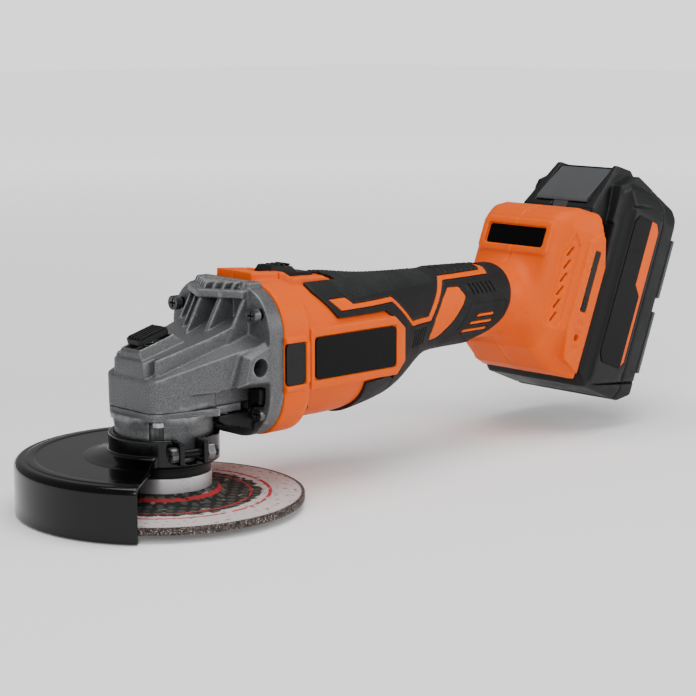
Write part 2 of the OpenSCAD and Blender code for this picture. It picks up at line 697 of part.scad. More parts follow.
module lock_spring() color(steel) translate([-lock_r, 0, spring_seat_z + gap])
    for (i = [0 : 2]) translate([0, 0, 0.5 + i * 1.2]) rotate_extrude()
        translate([lock_spring_r - 0.5, 0]) circle(r = 0.45, $fn = 24);

// ---- plastic housing ----

// One station of the narrowing between barrel and handle
module station(x, half_w, half_h, z) translate([x, 0, z]) rotate([0, 90, 0])
    scale([half_h, half_w, 1]) cylinder(r = 1, h = 0.5, $fn = 48);

module shoulder(grow) {
    hull() {
        station(shoulder_x - 1, barrel_r + grow - 0.3, barrel_r + grow - 0.3, axis_h);
        station(shoulder_mid_x, barrel_r - 1 + grow, barrel_r - 2.8 + grow, axis_h + 1.5);
        station(shoulder_rear_x, barrel_r - 3.5 + grow, barrel_r - 6.8 + grow, axis_h + 3.8);
        station(handle_x, core_r + grow - 0.3, core_r + grow - 0.3, handle_h);
    }
}

// The four round corners of a slab of the foot, in the battery's frame
module foot_corners(a0, a1, b0, b1, half_w, r) for (b = [b0 + r, b1 - r], s = [-1, 1])
    translate([a0, s * (half_w - r), b]) rotate([0, 90, 0]) cylinder(r = r, h = a1 - a0, $fn = hull_fn);

module foot_outer(inset) foot_frame() hull() {
    foot_corners(foot_front + inset, foot_front + inset + 2, foot_front_low + inset, foot_front_high - inset,
        foot_front_w - inset, 6);
    foot_corners(-14, -gap, foot_low + inset, foot_high - inset, foot_w - inset, 7);
}

module switch_boss() side_profile([
    [collar_x, axis_h + 28], [collar_x, axis_h + 39], [collar_x + 20, axis_h + 37.4],
    [collar_x + 26, axis_h + 34], [collar_x + 44, axis_h + 33.4], [collar_x + 48, axis_h + 30],
    [collar_x + 44, axis_h + 26]], 12.5);

module side_pads() for (s = [-1, 1]) translate([(barrel_x + 2 + pad_rear_x) / 2, 0, axis_h])
    rotate([s * -90, 0, 0]) translate([0, 0, barrel_r - 8])
        round_plate((pad_rear_x - barrel_x - 2) / 2, plate_h / 2 + 4, 5, pad_y - barrel_r + 8);

module housing_body() {
    square_flange(collar_x, barrel_x, flange_half + 0.5);
    on_motor(barrel_x - 1) cylinder(r = barrel_r, h = shoulder_x - barrel_x + 1.5);
    shoulder(0);
    on_handle(handle_x - 1) cylinder(r = core_r, h = foot_x - 30 - handle_x);
    foot_outer(0);
    switch_boss();
    side_pads();
}

// The hollow for the motor, controls and leads
module housing_hollow() {
    on_motor(collar_x - 1) cylinder(r = shell_in_r, h = shoulder_x - collar_x + 2);
    shoulder(-shell_wall);
    on_handle(handle_x - 2) cylinder(r = core_r - shell_wall + 0.2, h = foot_x - 33 - handle_x);
    difference() {
        foot_outer(shell_wall);
        foot_frame() box(-rail_h - 0.6 - channel_wall, 20, -big, big, -big, big);
    }
}

// The battery's channel, open at the back and at the top
module battery_channel() foot_frame() {
    box(-rail_h - 0.6, 20, -rail_neck_w - 0.3, rail_neck_w + 0.3, rail_low - 0.6, big);
    box(-rail_h - 0.6, -rail_neck_h + 0.3, -rail_w - 0.4, rail_w + 0.4, rail_low - 0.6, big);
    box(-rail_h - 3.2, -rail_h, -6, 6, foot_high - 14, big);
}

module housing_screw_places() for (p = [[70, axis_h - 28.8], [92, axis_h - 28.8],
    [132, handle_h - 13.2], [175, handle_h - 13.2], [152, handle_h + 13.2], [200, handle_h + 13.2]])
    translate([p[0], 0, p[1]]) rotate([90, 0, 0]) children();

module switch_window() {
    box(knob_x - switch_travel - 1.4, knob_x + knob_l + 1, -5.6, 5.6, axis_h + 27, axis_h + 31.4);
    box(knob_x - switch_travel - 0.6, knob_x + knob_l + 0.5, -5.6, 5.6, axis_h + 27, big);
}

module housing_half(side) color(orange) difference() {
    intersection() {
        difference() {
            housing_body();
            housing_hollow();
        }
        translate([0, side * gap / 4, 0]) half_space(side);
    }
    battery_channel();
    terminal_room();
    switch_window();
    gearbox_screw_places() cylinder(r = screw_r + gap / 2, h = 30);
    badge_pockets();
    plate_pockets();
    foot_trim_pockets();
    vent_slots();
    housing_screw_places() cylinder(r = 1.5 + gap / 2, h = 14, center = true);
}

// Plastic cap that carries the rear bearing behind the stator
module motor_end_cap() color(black) on_motor(rear_bearing_x - 2) difference() {
    cylinder(r = stator_r - 2, h = rear_bearing_w + 3);
    translate([0, 0, -1]) cylinder(r = rear_journal_r + 3, h = 20);
    translate([0, 0, 2 - run_gap]) cylinder(r = rear_bearing_r + run_gap, h = rear_bearing_w + 2 * run_gap);
    for (a = [0 : 60 : 300]) rotate([0, 0, a + 30]) translate([20, 0, -1]) cylinder(r = 5.5, h = 20);
    translate([-big, -8, -1]) cube([big - 22, 16, 20]);
}

module terminal_room() foot_frame() box(-rail_h - 10, -rail_h, -16, 16, rail_low - 4, rail_low + 26);

module badge_pockets() for (s = [-1, 1])
    translate([badge_x, s * (flange_half + 0.5), axis_h - 0.5]) rotate([s * -90, 0, 0])
        translate([0, 0, -1.2]) round_plate(badge_l / 2 + gap, badge_h / 2 + gap, 2, 5);

module plate_pockets() for (s = [-1, 1])
    translate([plate_x + plate_l / 2, s * pad_y, axis_h]) rotate([s * -90, 0, 0])
        translate([0, 0, -0.8]) round_plate(plate_l / 2 + gap, plate_h / 2 + gap, 2, 5);

module foot_trim_pockets() foot_frame() {
    translate([foot_front - 1, 0, 18.5]) rotate([0, 90, 0]) round_plate(5.2 + gap, 19.5 + gap, 1.5, 2.2);
    for (s = [-1, 1]) translate([-10.5, s * foot_w, 4.5]) rotate([s * -90, 0, 0])
        translate([0, 0, -1]) round_plate(2 + gap, 16.2 + gap, 1, 5);
}

// Cooling air inlets in the sides of the foot
module vent_slots() foot_frame() for (s = [-1, 1], i = [0 : 4])
    translate([-24, s * 28, -15 + i * 8]) rotate([0, 35, 0]) translate([-4, -10, -0.8]) cube([8, 20, 1.6]);

// ---- rubber grip ----

// Outlines in X and Z, seen from the side
grip_outline = [
    [71.5, 100], [71.5, 89], [75.5, 83], [78.5, 77.5], [111, 77.5], [119.5, 70.5], [120.5, 56],
    [117, 49.5], [121, 30], [186, 30], [188, 53], [197, 57.5], [203, 63.5], [207, 71], [209.5, 78],
    [211.5, 86], [212.5, 100]];
grip_chin = [[88, 36], [92, 41], [95.5, 45.5], [113, 46.5], [118, 44], [118, 25], [80, 25], [84, 33]];
module grip_volume(grow) {
    on_motor(barrel_x + 10) cylinder(r = barrel_r + grow, h = shoulder_x - barrel_x - 9.6);
    shoulder(grow);
    on_handle(handle_x - 0.5) cylinder(r = core_r + grow, h = 215 - handle_x);
}

module grip_half(side) color(rubber) difference() {
    intersection() {
        grip_volume(rubber_t);
        union() {
            side_profile(grip_outline, 60);
            side_profile(grip_chin, 60);
        }
        translate([0, side * gap / 2, 0]) half_space(side);
    }
    on_motor(barrel_x - 1) cylinder(r = barrel_r + 0.02, h = shoulder_x - barrel_x + 1.5);
    shoulder(0.05);
    on_handle(handle_x - 1) cylinder(r = core_r + 0.02, h = foot_x);
    foot_outer(-gap);
    boss_room();
    side_pad_room();
}

module boss_room() side_profile([
    [collar_x - 1, axis_h + 20], [collar_x - 1, axis_h + 42], [collar_x + 44.3, axis_h + 42],
    [collar_x + 44.3, axis_h + 33.6], [collar_x + 48.4, axis_h + 30], [collar_x + 44, axis_h + 25.6]], 12.7);

module side_pad_room() for (s = [-1, 1]) translate([(barrel_x + 2 + pad_rear_x) / 2, 0, axis_h])
    rotate([s * -90, 0, 0]) translate([0, 0, barrel_r - 9])
        round_plate((pad_rear_x - barrel_x - 2) / 2 + gap, plate_h / 2 + 4 + gap, 5, 30);

// ---- trim ----

module name_plates() color(black) for (s = [-1, 1])
    translate([plate_x + plate_l / 2, s * pad_y, axis_h]) rotate([s * -90, 0, 0])
        translate([0, 0, -0.8 + 0.02]) round_plate(plate_l / 2, plate_h / 2, 2, 1);

module side_badges() color(rubber) for (s = [-1, 1])
    translate([badge_x, s * (flange_half + 0.5), axis_h - 0.5]) rotate([s * -90, 0, 0])
        translate([0, 0, -1.2 + 0.02]) round_plate(badge_l / 2, badge_h / 2, 2, 1.8);

module foot_window() color(black) foot_frame() translate([foot_front + 0.3, 0, 18.5])
    rotate([0, 90, 0]) round_plate(5.2, 19.5, 1.5, 0.85);

module foot_strips() color(rubber) foot_frame() for (s = [-1, 1]) translate([-10.5, s * foot_w, 4.5])
    rotate([s * -90, 0, 0]) translate([0, 0, -1 + 0.02]) {
        round_plate(2, 16.2, 1, 1.2);
        for (i = [0 : 4]) translate([-1.8, s * (9 + i * 1.5), 0]) cube([3.6, 0.7, 1.6]);
    }

module housing_screws() color(dark_steel) housing_screw_places()
    cylinder(r = 1.5, h = 13, center = true);

// ---- controls and wiring ----

module switch_knob() color(black) translate([knob_x, 0, axis_h + 29.8]) {
    side_profile([[0, 0], [0, 7.6], [2, 9.8], [14, 8.6], [17, 5.8], [knob_l - 1, 5.2],
        [knob_l, 4], [knob_l, 0]], 5.2);
    for (i = [0 : 3]) translate([3 + i * 3, -4.6, 8.9]) cube([1.2, 9.2, 1]);
}

module switch_rod() color(black) {
    rod_z = axis_h + 26.9;
    rod_t = 1.5;
    leg_x = stator_x + stator_l + switch_travel + 3;
    box(knob_x + 2, leg_x + 1.8, -3.6, 3.6, rod_z, rod_z + rod_t);
    box(knob_x + 4, knob_x + 12, -3.6, 3.6, rod_z + rod_t - 0.01, axis_h + 29.78);
    box(leg_x, leg_x + 1.8, -3.6, 3.6, rod_z - 4.6, rod_z + 0.01);
    box(leg_x + 1.79, leg_x + 6.8, -3.6, 3.6, rod_z - 4.6, rod_z - 2.8);
}

module micro_switch() color("#22242a") box(rear_bearing_x + rear_bearing_w + 6, rear_bearing_x + rear_bearing_w + 26,
    -5, 5, axis_h + 12, axis_h + 24);

module controller_board() color("#1f6b3a") box(152, 212, -13, 13, handle_h - 5, handle_h - 3.4);

module controller_parts() color("#7d8288") {
    box(156, 182, -10, 10, handle_h - 3.3, handle_h + 5);
    for (x = [188, 199]) translate([x, 0, handle_h - 3.3]) cylinder(r = 4.6, h = 12);
}

module terminal_block() color(black) foot_frame() difference() {
    box(-rail_h - 9.5, -rail_h - 0.7, -15.5, 15.5, rail_low - 0.5 - 3, rail_low + 12);
    for (y = blade_y) box(-rail_h - 5, 0, y - blade_t / 2 - run_gap, y + blade_t / 2 + run_gap,
        rail_low + 2, rail_low + 9);
}

module terminal_blades() color("#c9a34a") foot_frame() for (y = blade_y) {
    box(-rail_h - 4.8, -rail_h + 3.6, y - blade_t / 2, y + blade_t / 2, rail_low + 2.2, rail_low + 8.8);
    box(-rail_h + 0.6, -rail_h + 3.6, y - blade_t / 2, y + blade_t / 2, rail_low + 2.2, rail_low + 18);
}

module power_leads() color("#a3231c") {
    for (y = [-7, 7]) translate([212.2, y, handle_h - 8]) rotate([0, 90, 0]) cylinder(r = 1.4, h = 16);
    for (y = [-6, 0, 6]) translate([rear_bearing_x + rear_bearing_w + 2, y, handle_h - 9]) rotate([0, 90, 0])
        cylinder(r = 1.2, h = 38);
}

// ---- battery ----

battery_profile = [
    [battery_gap + 7, battery_low], [battery_gap, battery_low + 9], [battery_gap, battery_high - 11],
    [10, battery_high - 1], [30, battery_high], [battery_depth - 6, battery_high - 8],
    [battery_depth, battery_high - 18], [battery_depth, battery_low + 10], [36, battery_low]];

battery_hollow = [
    [battery_gap + 7 + case_wall / 2, battery_low + case_wall],
    [battery_gap + case_wall, battery_low + 9 + case_wall / 2], [battery_gap + case_wall, cell_top + 0.6],
    [battery_depth - case_wall, cell_top + 0.6], [battery_depth - case_wall, battery_low + 10 + case_wall / 2],
    [36 - case_wall / 2, battery_low + case_wall]];

module battery_outer() {
    half = battery_w / 2;
    hull() {
        side_profile(battery_profile, half - 5);
        translate([4, 0, 0.7]) scale([0.85, 1, 0.93]) side_profile(battery_profile, half);
    }
}

module battery_inner() side_profile(battery_hollow, battery_w / 2 - case_wall - 1.2);

module rail_block() difference() {
    union() {
        box(-rail_h, -rail_neck_h, -rail_w, rail_w, rail_low, battery_high - 26);
        box(-rail_h, battery_gap + 1, -rail_neck_w, rail_neck_w, rail_low, battery_high - 26);
    }
    for (y = blade_y) box(-rail_h - 1, -rail_h + 5, y - 1, y + 1, rail_low - 1, rail_low + 22);
}

module hood() difference() {
    side_profile([[-12, foot_high + 1.2], [-12, foot_high + 6], [3, hood_top], [14, hood_top + 1], [20, foot_high + 1.2]], hood_w);
    latch_room();
}

// Slot in the hood that the latch slides in
module latch_room() {
    side_profile([
        [-13, foot_high + 9], [-13, hood_top + 8], [4.5, hood_top + 8], [9, hood_top - 2],
        [9, foot_high + 9]], 17.5 + gap);
    box(-rail_h - 3, 9, -5.2, 5.2, foot_high - 8, foot_high + 10);
}

module battery_top_case() color(black) foot_frame() difference() {
    union() {
        intersection() {
            battery_outer();
            box(-20, case_split - gap / 2, -big, big, -big, big);
        }
        rail_block();
        hood();
    }
    battery_inner();
    latch_room();
    battery_label_pockets();
    battery_screw_places() translate([0, 0, -12]) cylinder(r = 1.3 + gap / 2, h = 40);
}

module battery_bottom_case() color(black) foot_frame() difference() {
    intersection() {
        battery_outer();
        box(case_split + gap / 2, big, -big, big, -big, big);
    }
    battery_inner();
    bumper_pockets(gap);
    battery_screw_places() {
        translate([0, 0, -12]) cylinder(r = 1.3 + gap / 2, h = 40);
        translate([0, 0, -2]) cylinder(r = 3.2, h = 40);
    }
}

module battery_cells() color("#3f7d4f") foot_frame() for (row = [0 : cell_rows - 1], layer = [0 : 1])
    translate([cell_start + cell_d / 2 + layer * cell_pitch, cell_l / 2,
        cell_low + cell_pitch * (row + 0.5)]) rotate([90, 0, 0])
        cylinder(d = cell_d, h = cell_l);

module battery_board() color("#1f6b3a") foot_frame()
    box(battery_depth - case_wall - 3, battery_depth - case_wall - 1.4, -22, 22, -20, 30);

module battery_contacts() color("#c9a34a") foot_frame() for (y = blade_y)
    box(-rail_h + 4, -rail_h + 4.8, y - 0.8, y + 0.8, rail_low + 3, rail_low + 20);

module bumper_pockets(grow) for (s = [-1, 1], b = [[-30, 4], [12, 44]])
    translate([battery_depth - 5, s * (battery_w / 2 - 4.2), b[0]])
        box(-grow, 10, s > 0 ? -grow : -8, s > 0 ? 8 : grow, -grow, b[1] - b[0] + grow);

module battery_bumpers() color("#6b6e72") foot_frame() intersection() {
    battery_outer();
    bumper_pockets(0);
}

module battery_label_pockets() for (s = [-1, 1]) label_plate(s, 0.5, gap);

label_outline = [[9, 44], [12, 48], [27, 48], [30, 44], [30, -28], [27, -32], [12, -32], [9, -28]];

module label_plate(s, t, grow) translate([0, s > 0 ? battery_w / 2 : -battery_w / 2, 0])
    rotate([90, 0, 0]) translate([0, 0, s > 0 ? 0 : -t]) linear_extrude(t) offset(delta = grow) polygon(label_outline);

module battery_labels() color(black) foot_frame() intersection() {
    for (s = [-1, 1]) label_plate(s, 0.48, 0);
    battery_outer();
}

module battery_screw_places() for (s = [-1, 1])
    translate([battery_depth - 5, s * 24, battery_high - 14]) rotate([0, 90, 0]) children();

module battery_screws() color(steel) foot_frame() battery_screw_places() translate([0, 0, -1.9])
    pan_screw(1.3, 2.8, 1.8, 10);

module battery_latch() color("#56595d") foot_frame() {
    side_profile([
        [-11, foot_high + 9.6], [-9.6, foot_high + 9.6], [5.4, foot_high + 9.6], [5.4, hood_top - 4],
        [2.6, hood_top - 2.6], [-11, foot_high + 11.6]], 17.2);
    box(-rail_h - 2, -rail_h + 6, -4.8, 4.8, foot_high - 7.6, foot_high - 2);
    box(-rail_h + 3, -rail_h + 6.02, -4.8, 4.8, foot_high - 7.6, foot_high + 9.7);
}

module latch_spring() color(steel) foot_frame() for (i = [0 : 3])
    translate([6.2 + i * 0.75, 0, foot_high + 16]) rotate([0, 90, 0]) rotate_extrude()
        translate([3, 0]) circle(r = 0.36, $fn = 24);

// ---- the pieces ----

gear_housing();
bearing_cover();
cover_screws();
gearbox_screws();
dust_ring();
spindle_bearing_outer();
spindle_bearing_balls();
needle_bearing();
air_baffle();
front_bearing_outer();
rear_bearing_outer();
motor_end_cap();
stator_core();
stator_coils();
housing_half(-1);  // housing_left
housing_half(1);  // housing_right
grip_half(-1);  // grip_left
grip_half(1);  // grip_right
name_plates();
side_badges();
foot_window();
foot_strips();
housing_screws();
controller_board();
controller_parts();
micro_switch();
terminal_block();
terminal_blades();
power_leads();
spindle();
crown_gear();
spindle_bearing_inner();
inner_flange();
grinding_disc();
disc_ring();
clamping_nut();
rotor_shaft();
rotor_magnets();
pinion_gear();
cooling_fan();
front_bearing_inner();
rear_bearing_inner();
wheel_guard();
guard_clamp_screw();
guard_clamp_nut();
lock_button();
lock_pin();
lock_spring();
switch_knob();
switch_rod();
battery_top_case();
battery_bottom_case();
battery_cells();
battery_board();
battery_contacts();
battery_bumpers();
battery_labels();
battery_screws();
battery_latch();
latch_spring();
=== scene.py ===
"""The looks of a cordless angle grinder: its cast head, moulded body, grips, battery, disc and guard."""

import json
import logging
import math
from collections.abc import Callable, Iterable, Sequence
from copy import copy
from dataclasses import dataclass, field
from enum import Enum

import bpy
import numpy as np
import openvdb
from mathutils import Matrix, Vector

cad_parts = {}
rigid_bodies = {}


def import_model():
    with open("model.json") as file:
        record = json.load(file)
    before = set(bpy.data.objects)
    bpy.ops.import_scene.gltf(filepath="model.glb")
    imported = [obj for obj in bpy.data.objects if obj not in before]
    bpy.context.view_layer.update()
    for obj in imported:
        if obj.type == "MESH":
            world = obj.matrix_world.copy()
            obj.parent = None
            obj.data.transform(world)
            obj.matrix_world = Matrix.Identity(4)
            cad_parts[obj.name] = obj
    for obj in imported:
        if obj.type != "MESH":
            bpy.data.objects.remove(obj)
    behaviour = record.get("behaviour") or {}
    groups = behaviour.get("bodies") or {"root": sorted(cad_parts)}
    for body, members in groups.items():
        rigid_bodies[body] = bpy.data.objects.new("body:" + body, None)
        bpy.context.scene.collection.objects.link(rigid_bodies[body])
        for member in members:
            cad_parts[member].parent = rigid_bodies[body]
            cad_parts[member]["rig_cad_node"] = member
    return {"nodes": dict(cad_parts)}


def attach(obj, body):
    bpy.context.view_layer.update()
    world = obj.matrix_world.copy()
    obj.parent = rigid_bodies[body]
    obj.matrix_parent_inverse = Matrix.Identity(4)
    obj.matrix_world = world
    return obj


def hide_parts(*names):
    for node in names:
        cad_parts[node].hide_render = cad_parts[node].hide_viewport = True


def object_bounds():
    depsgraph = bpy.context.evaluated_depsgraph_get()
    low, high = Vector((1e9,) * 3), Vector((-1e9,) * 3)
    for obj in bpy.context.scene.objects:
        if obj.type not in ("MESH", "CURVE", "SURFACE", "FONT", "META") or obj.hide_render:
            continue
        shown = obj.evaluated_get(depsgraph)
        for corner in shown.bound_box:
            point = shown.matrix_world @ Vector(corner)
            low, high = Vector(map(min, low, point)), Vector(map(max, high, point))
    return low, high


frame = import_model()
CAD_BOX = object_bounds()

MM = 0.001
AXIS_Z = 61.5
"""Height of the motor's axis above the nut, in millimetres."""
Point2 = tuple[float, float]
Point3 = tuple[float, float, float]
log = logging.getLogger("grinder")


# ---------------------------------------------------------------- solid modelling on a grid

class Side(Enum):
    """The two sides of the tool."""

    LEFT = -1
    RIGHT = 1


def join(a: np.ndarray, b: np.ndarray, blend: float = 0.0) -> np.ndarray:
    """Adds one solid to another, with a fillet of about blend millimetres.

    Args:
        a: Distance to the first solid, negative inside.
        b: Distance to the second solid.
        blend: Size of the fillet where they meet.

    Returns:
        Distance to the joined solid.
    """
    if blend <= 0:
        return np.minimum(a, b)
    near = np.maximum(blend - np.abs(a - b), 0) / blend
    return np.minimum(a, b) - near * near * blend / 4


def keep(a: np.ndarray, b: np.ndarray, blend: float = 0.0) -> np.ndarray:
    """Returns what two solids share, with edges rounded by about blend millimetres."""
    return -join(-a, -b, blend)


def cut(a: np.ndarray, b: np.ndarray, blend: float = 0.0) -> np.ndarray:
    """Returns the first solid with the second cut away, edges rounded by about blend millimetres."""
    return -join(-a, b, blend)


def all_of(parts: Iterable[np.ndarray], blend: float = 0.0) -> np.ndarray:
    """Returns what all the solids share."""
    shared = None
    for part in parts:
        shared = part if shared is None else keep(shared, part, blend)
    return shared


def any_of(parts: Iterable[np.ndarray], blend: float = 0.0) -> np.ndarray:
    """Returns all the solids joined."""
    whole = None
    for part in parts:
        whole = part if whole is None else join(whole, part, blend)
    return whole


def outline(u: np.ndarray, v: np.ndarray, points: Sequence[Point2]) -> np.ndarray:
    """Measures the distance to a closed outline, negative inside it.

    Args:
        u: First coordinate of each grid point.
        v: Second coordinate of each grid point.
        points: Corners of the outline, in order.

    Returns:
        Signed distance in the plane of the outline.
    """
    best = np.full(np.broadcast(u, v).shape, 1e12, np.float32)
    inside = np.zeros(best.shape, bool)
    for (u0, v0), (u1, v1) in zip(points, [*points[1:], points[0]]):
        du, dv = u1 - u0, v1 - v0
        along = np.clip(((u - u0) * du + (v - v0) * dv) / (du * du + dv * dv), 0, 1)
        best = np.minimum(best, (u - u0 - along * du) ** 2 + (v - v0 - along * dv) ** 2)
        if dv != 0:
            crossing = ((v0 <= v) != (v1 <= v)) & (u < u0 + (v - v0) * du / dv)
            inside ^= crossing
    return np.where(inside, -1, 1) * np.sqrt(best)


def slab(u: np.ndarray, low: float, high: float) -> np.ndarray:
    """Returns the distance to the layer between two values of a coordinate."""
    return np.abs(u - (low + high) / 2) - (high - low) / 2


def rounded(distances: Sequence[np.ndarray], radius: float) -> np.ndarray:
    """Makes a block with true round edges from the slabs that bound it.

    Args:
        distances: Distance to each slab.
        radius: Radius of the round edges.

    Returns:
        Distance to the block.
    """
    grown = [d + radius for d in distances]
    outside = sum(np.maximum(d, 0) ** 2 for d in grown)
    inside = np.minimum(all_of(grown), 0)
    return np.sqrt(outside) + inside - radius


def turned(u: np.ndarray, v: np.ndarray, degrees: float) -> tuple[np.ndarray, np.ndarray]:
    """Returns two coordinates as seen in a frame that is turned by an angle from the first to the second."""
    c, s = math.cos(math.radians(degrees)), math.sin(math.radians(degrees))
    return u * c + v * s, v * c - u * s


class Space:
    """A block of space, in millimetres, sampled on a regular grid.

    The coordinates can be those of a tilted frame, such as the battery's. A method that takes a Space as
    s models in it, and returns the distance to its solid, negative inside.
    """

    def __init__(self, low: Point3, high: Point3, step: float) -> None:
        """Lays out the grid.

        Args:
            low: Lowest corner of what is modelled.
            high: Highest corner of what is modelled.
            step: Distance between grid points.
        """
        self.step = step
        self.low = [value - 2.5 * step for value in low]
        axes = [np.arange(a, b + 3 * step, step, dtype=np.float32) for a, b in zip(self.low, high)]
        self.x = axes[0][:, None, None]
        self.y = axes[1][None, :, None]
        self.z = axes[2][None, None, :]
        self.shape = tuple(len(axis) for axis in axes)

    def folded(self) -> "Space":
        """Returns the same space with both sides of the middle plane folded onto one."""
        half = copy(self)
        half.y = np.abs(self.y)
        return half

    def rod_x(self, y: float, z: float, radius: float, ends: Point2) -> np.ndarray:
        """Returns a rod along X."""
        return keep(np.hypot(self.y - y, self.z - z) - radius, slab(self.x, *ends))

    def rod_y(self, x: float, z: float, radius: float, ends: Point2) -> np.ndarray:
        """Returns a rod along Y."""
        return keep(np.hypot(self.x - x, self.z - z) - radius, slab(self.y, *ends))

    def rod_z(self, x: float, y: float, radius: float, ends: Point2) -> np.ndarray:
        """Returns a rod along Z."""
        return keep(np.hypot(self.x - x, self.y - y) - radius, slab(self.z, *ends))

    def under(self, a: Point3, b: Point3, c: Point3, inside: Point3) -> np.ndarray:
        """Returns the half of space on one side of a plane.

        Args:
            a: A point of the plane.
            b: Another point of the plane.
            c: A third point of the plane.
            inside: A point on the side that is kept.

        Returns:
            Distance to that half space.
        """
        normal = Vector(np.cross(np.subtract(b, a), np.subtract(c, a))).normalized()
        if normal.dot(Vector(inside) - Vector(a)) > 0:
            normal = -normal
        return ((self.x - a[0]) * normal.x + (self.y - a[1]) * normal.y
                + (self.z - a[2]) * normal.z)

    def mesh(self, name: str, solid: np.ndarray, place: Callable[[np.ndarray], np.ndarray] | None = None,
             adapt: float = 0.02) -> bpy.types.Object:
        """Turns a solid into a smooth closed mesh.

        Args:
            name: Name of the new piece.
            solid: Distance to the solid at each grid point.
            place: Takes points of this space to the row frame, both in millimetres.
            adapt: How far flat areas may be merged into larger faces.

        Returns:
            The new object, in metres in the row frame.
        """
        full = np.ascontiguousarray(np.broadcast_to(solid, self.shape), np.float32)
        limit = 3 * self.step
        grid = openvdb.FloatGrid(limit)
        grid.copyFromArray(np.clip(full, -limit, limit))
        points, triangles, quads = grid.convertToPolygons(0.0, adapt)
        points = points * self.step + np.array(self.low)
        if place is not None:
            points = place(points)
        made = bpy.data.meshes.new(name)
        faces = [tuple(f) for f in quads.tolist()] + [tuple(f) for f in triangles.tolist()]
        made.from_pydata((points * MM).tolist(), [], faces)
        made.validate()
        piece = added(name, made)
        turn_outward(made)
        made.shade_smooth()
        return piece


def added(name: str, data: bpy.types.ID) -> bpy.types.Object:
    """Adds an object to the scene."""
    thing = bpy.data.objects.new(name, data)
    bpy.context.scene.collection.objects.link(thing)
    return thing


def vertices(mesh: bpy.types.Mesh) -> np.ndarray:
    """Returns the place of every vertex, one row each."""
    co = np.zeros(len(mesh.vertices) * 3)
    mesh.vertices.foreach_get("co", co)
    return co.reshape(-1, 3)


def turn_outward(mesh: bpy.types.Mesh) -> None:
    """Turns a closed mesh's faces outward if they point inward."""
    mesh.calc_loop_triangles()
    corner = np.zeros(len(mesh.loop_triangles) * 3, np.int32)
    mesh.loop_triangles.foreach_get("vertices", corner)
    tri = vertices(mesh)[corner.reshape(-1, 3)]
    if np.einsum("ij,ij->i", tri[:, 0], np.cross(tri[:, 1], tri[:, 2])).sum() < 0:
        mesh.flip_normals()


def mirrored(piece: bpy.types.Object, name: str) -> bpy.types.Object:
    """Makes the piece for the other side of the tool.

    Args:
        piece: The piece to mirror across the plane Y = 0.
        name: Name of the copy.

    Returns:
        The mirrored copy.
    """
    twin = added(name, piece.data.copy())
    twin.data.name = name
    co = vertices(twin.data) * (1, -1, 1)
    twin.data.vertices.foreach_set("co", co.ravel())
    twin.data.flip_normals()
    twin.data.update()
    return twin


# ---------------------------------------------------------------- finishes

def linear(colour: Point3) -> tuple[float, float, float, float]:
    """Takes a colour as the eye reads it, 0 to 255, to the renderer's own scale."""
    return (*(((c / 255 + 0.055) / 1.055) ** 2.4 if c > 10 else c / 255 / 12.92 for c in colour), 1.0)


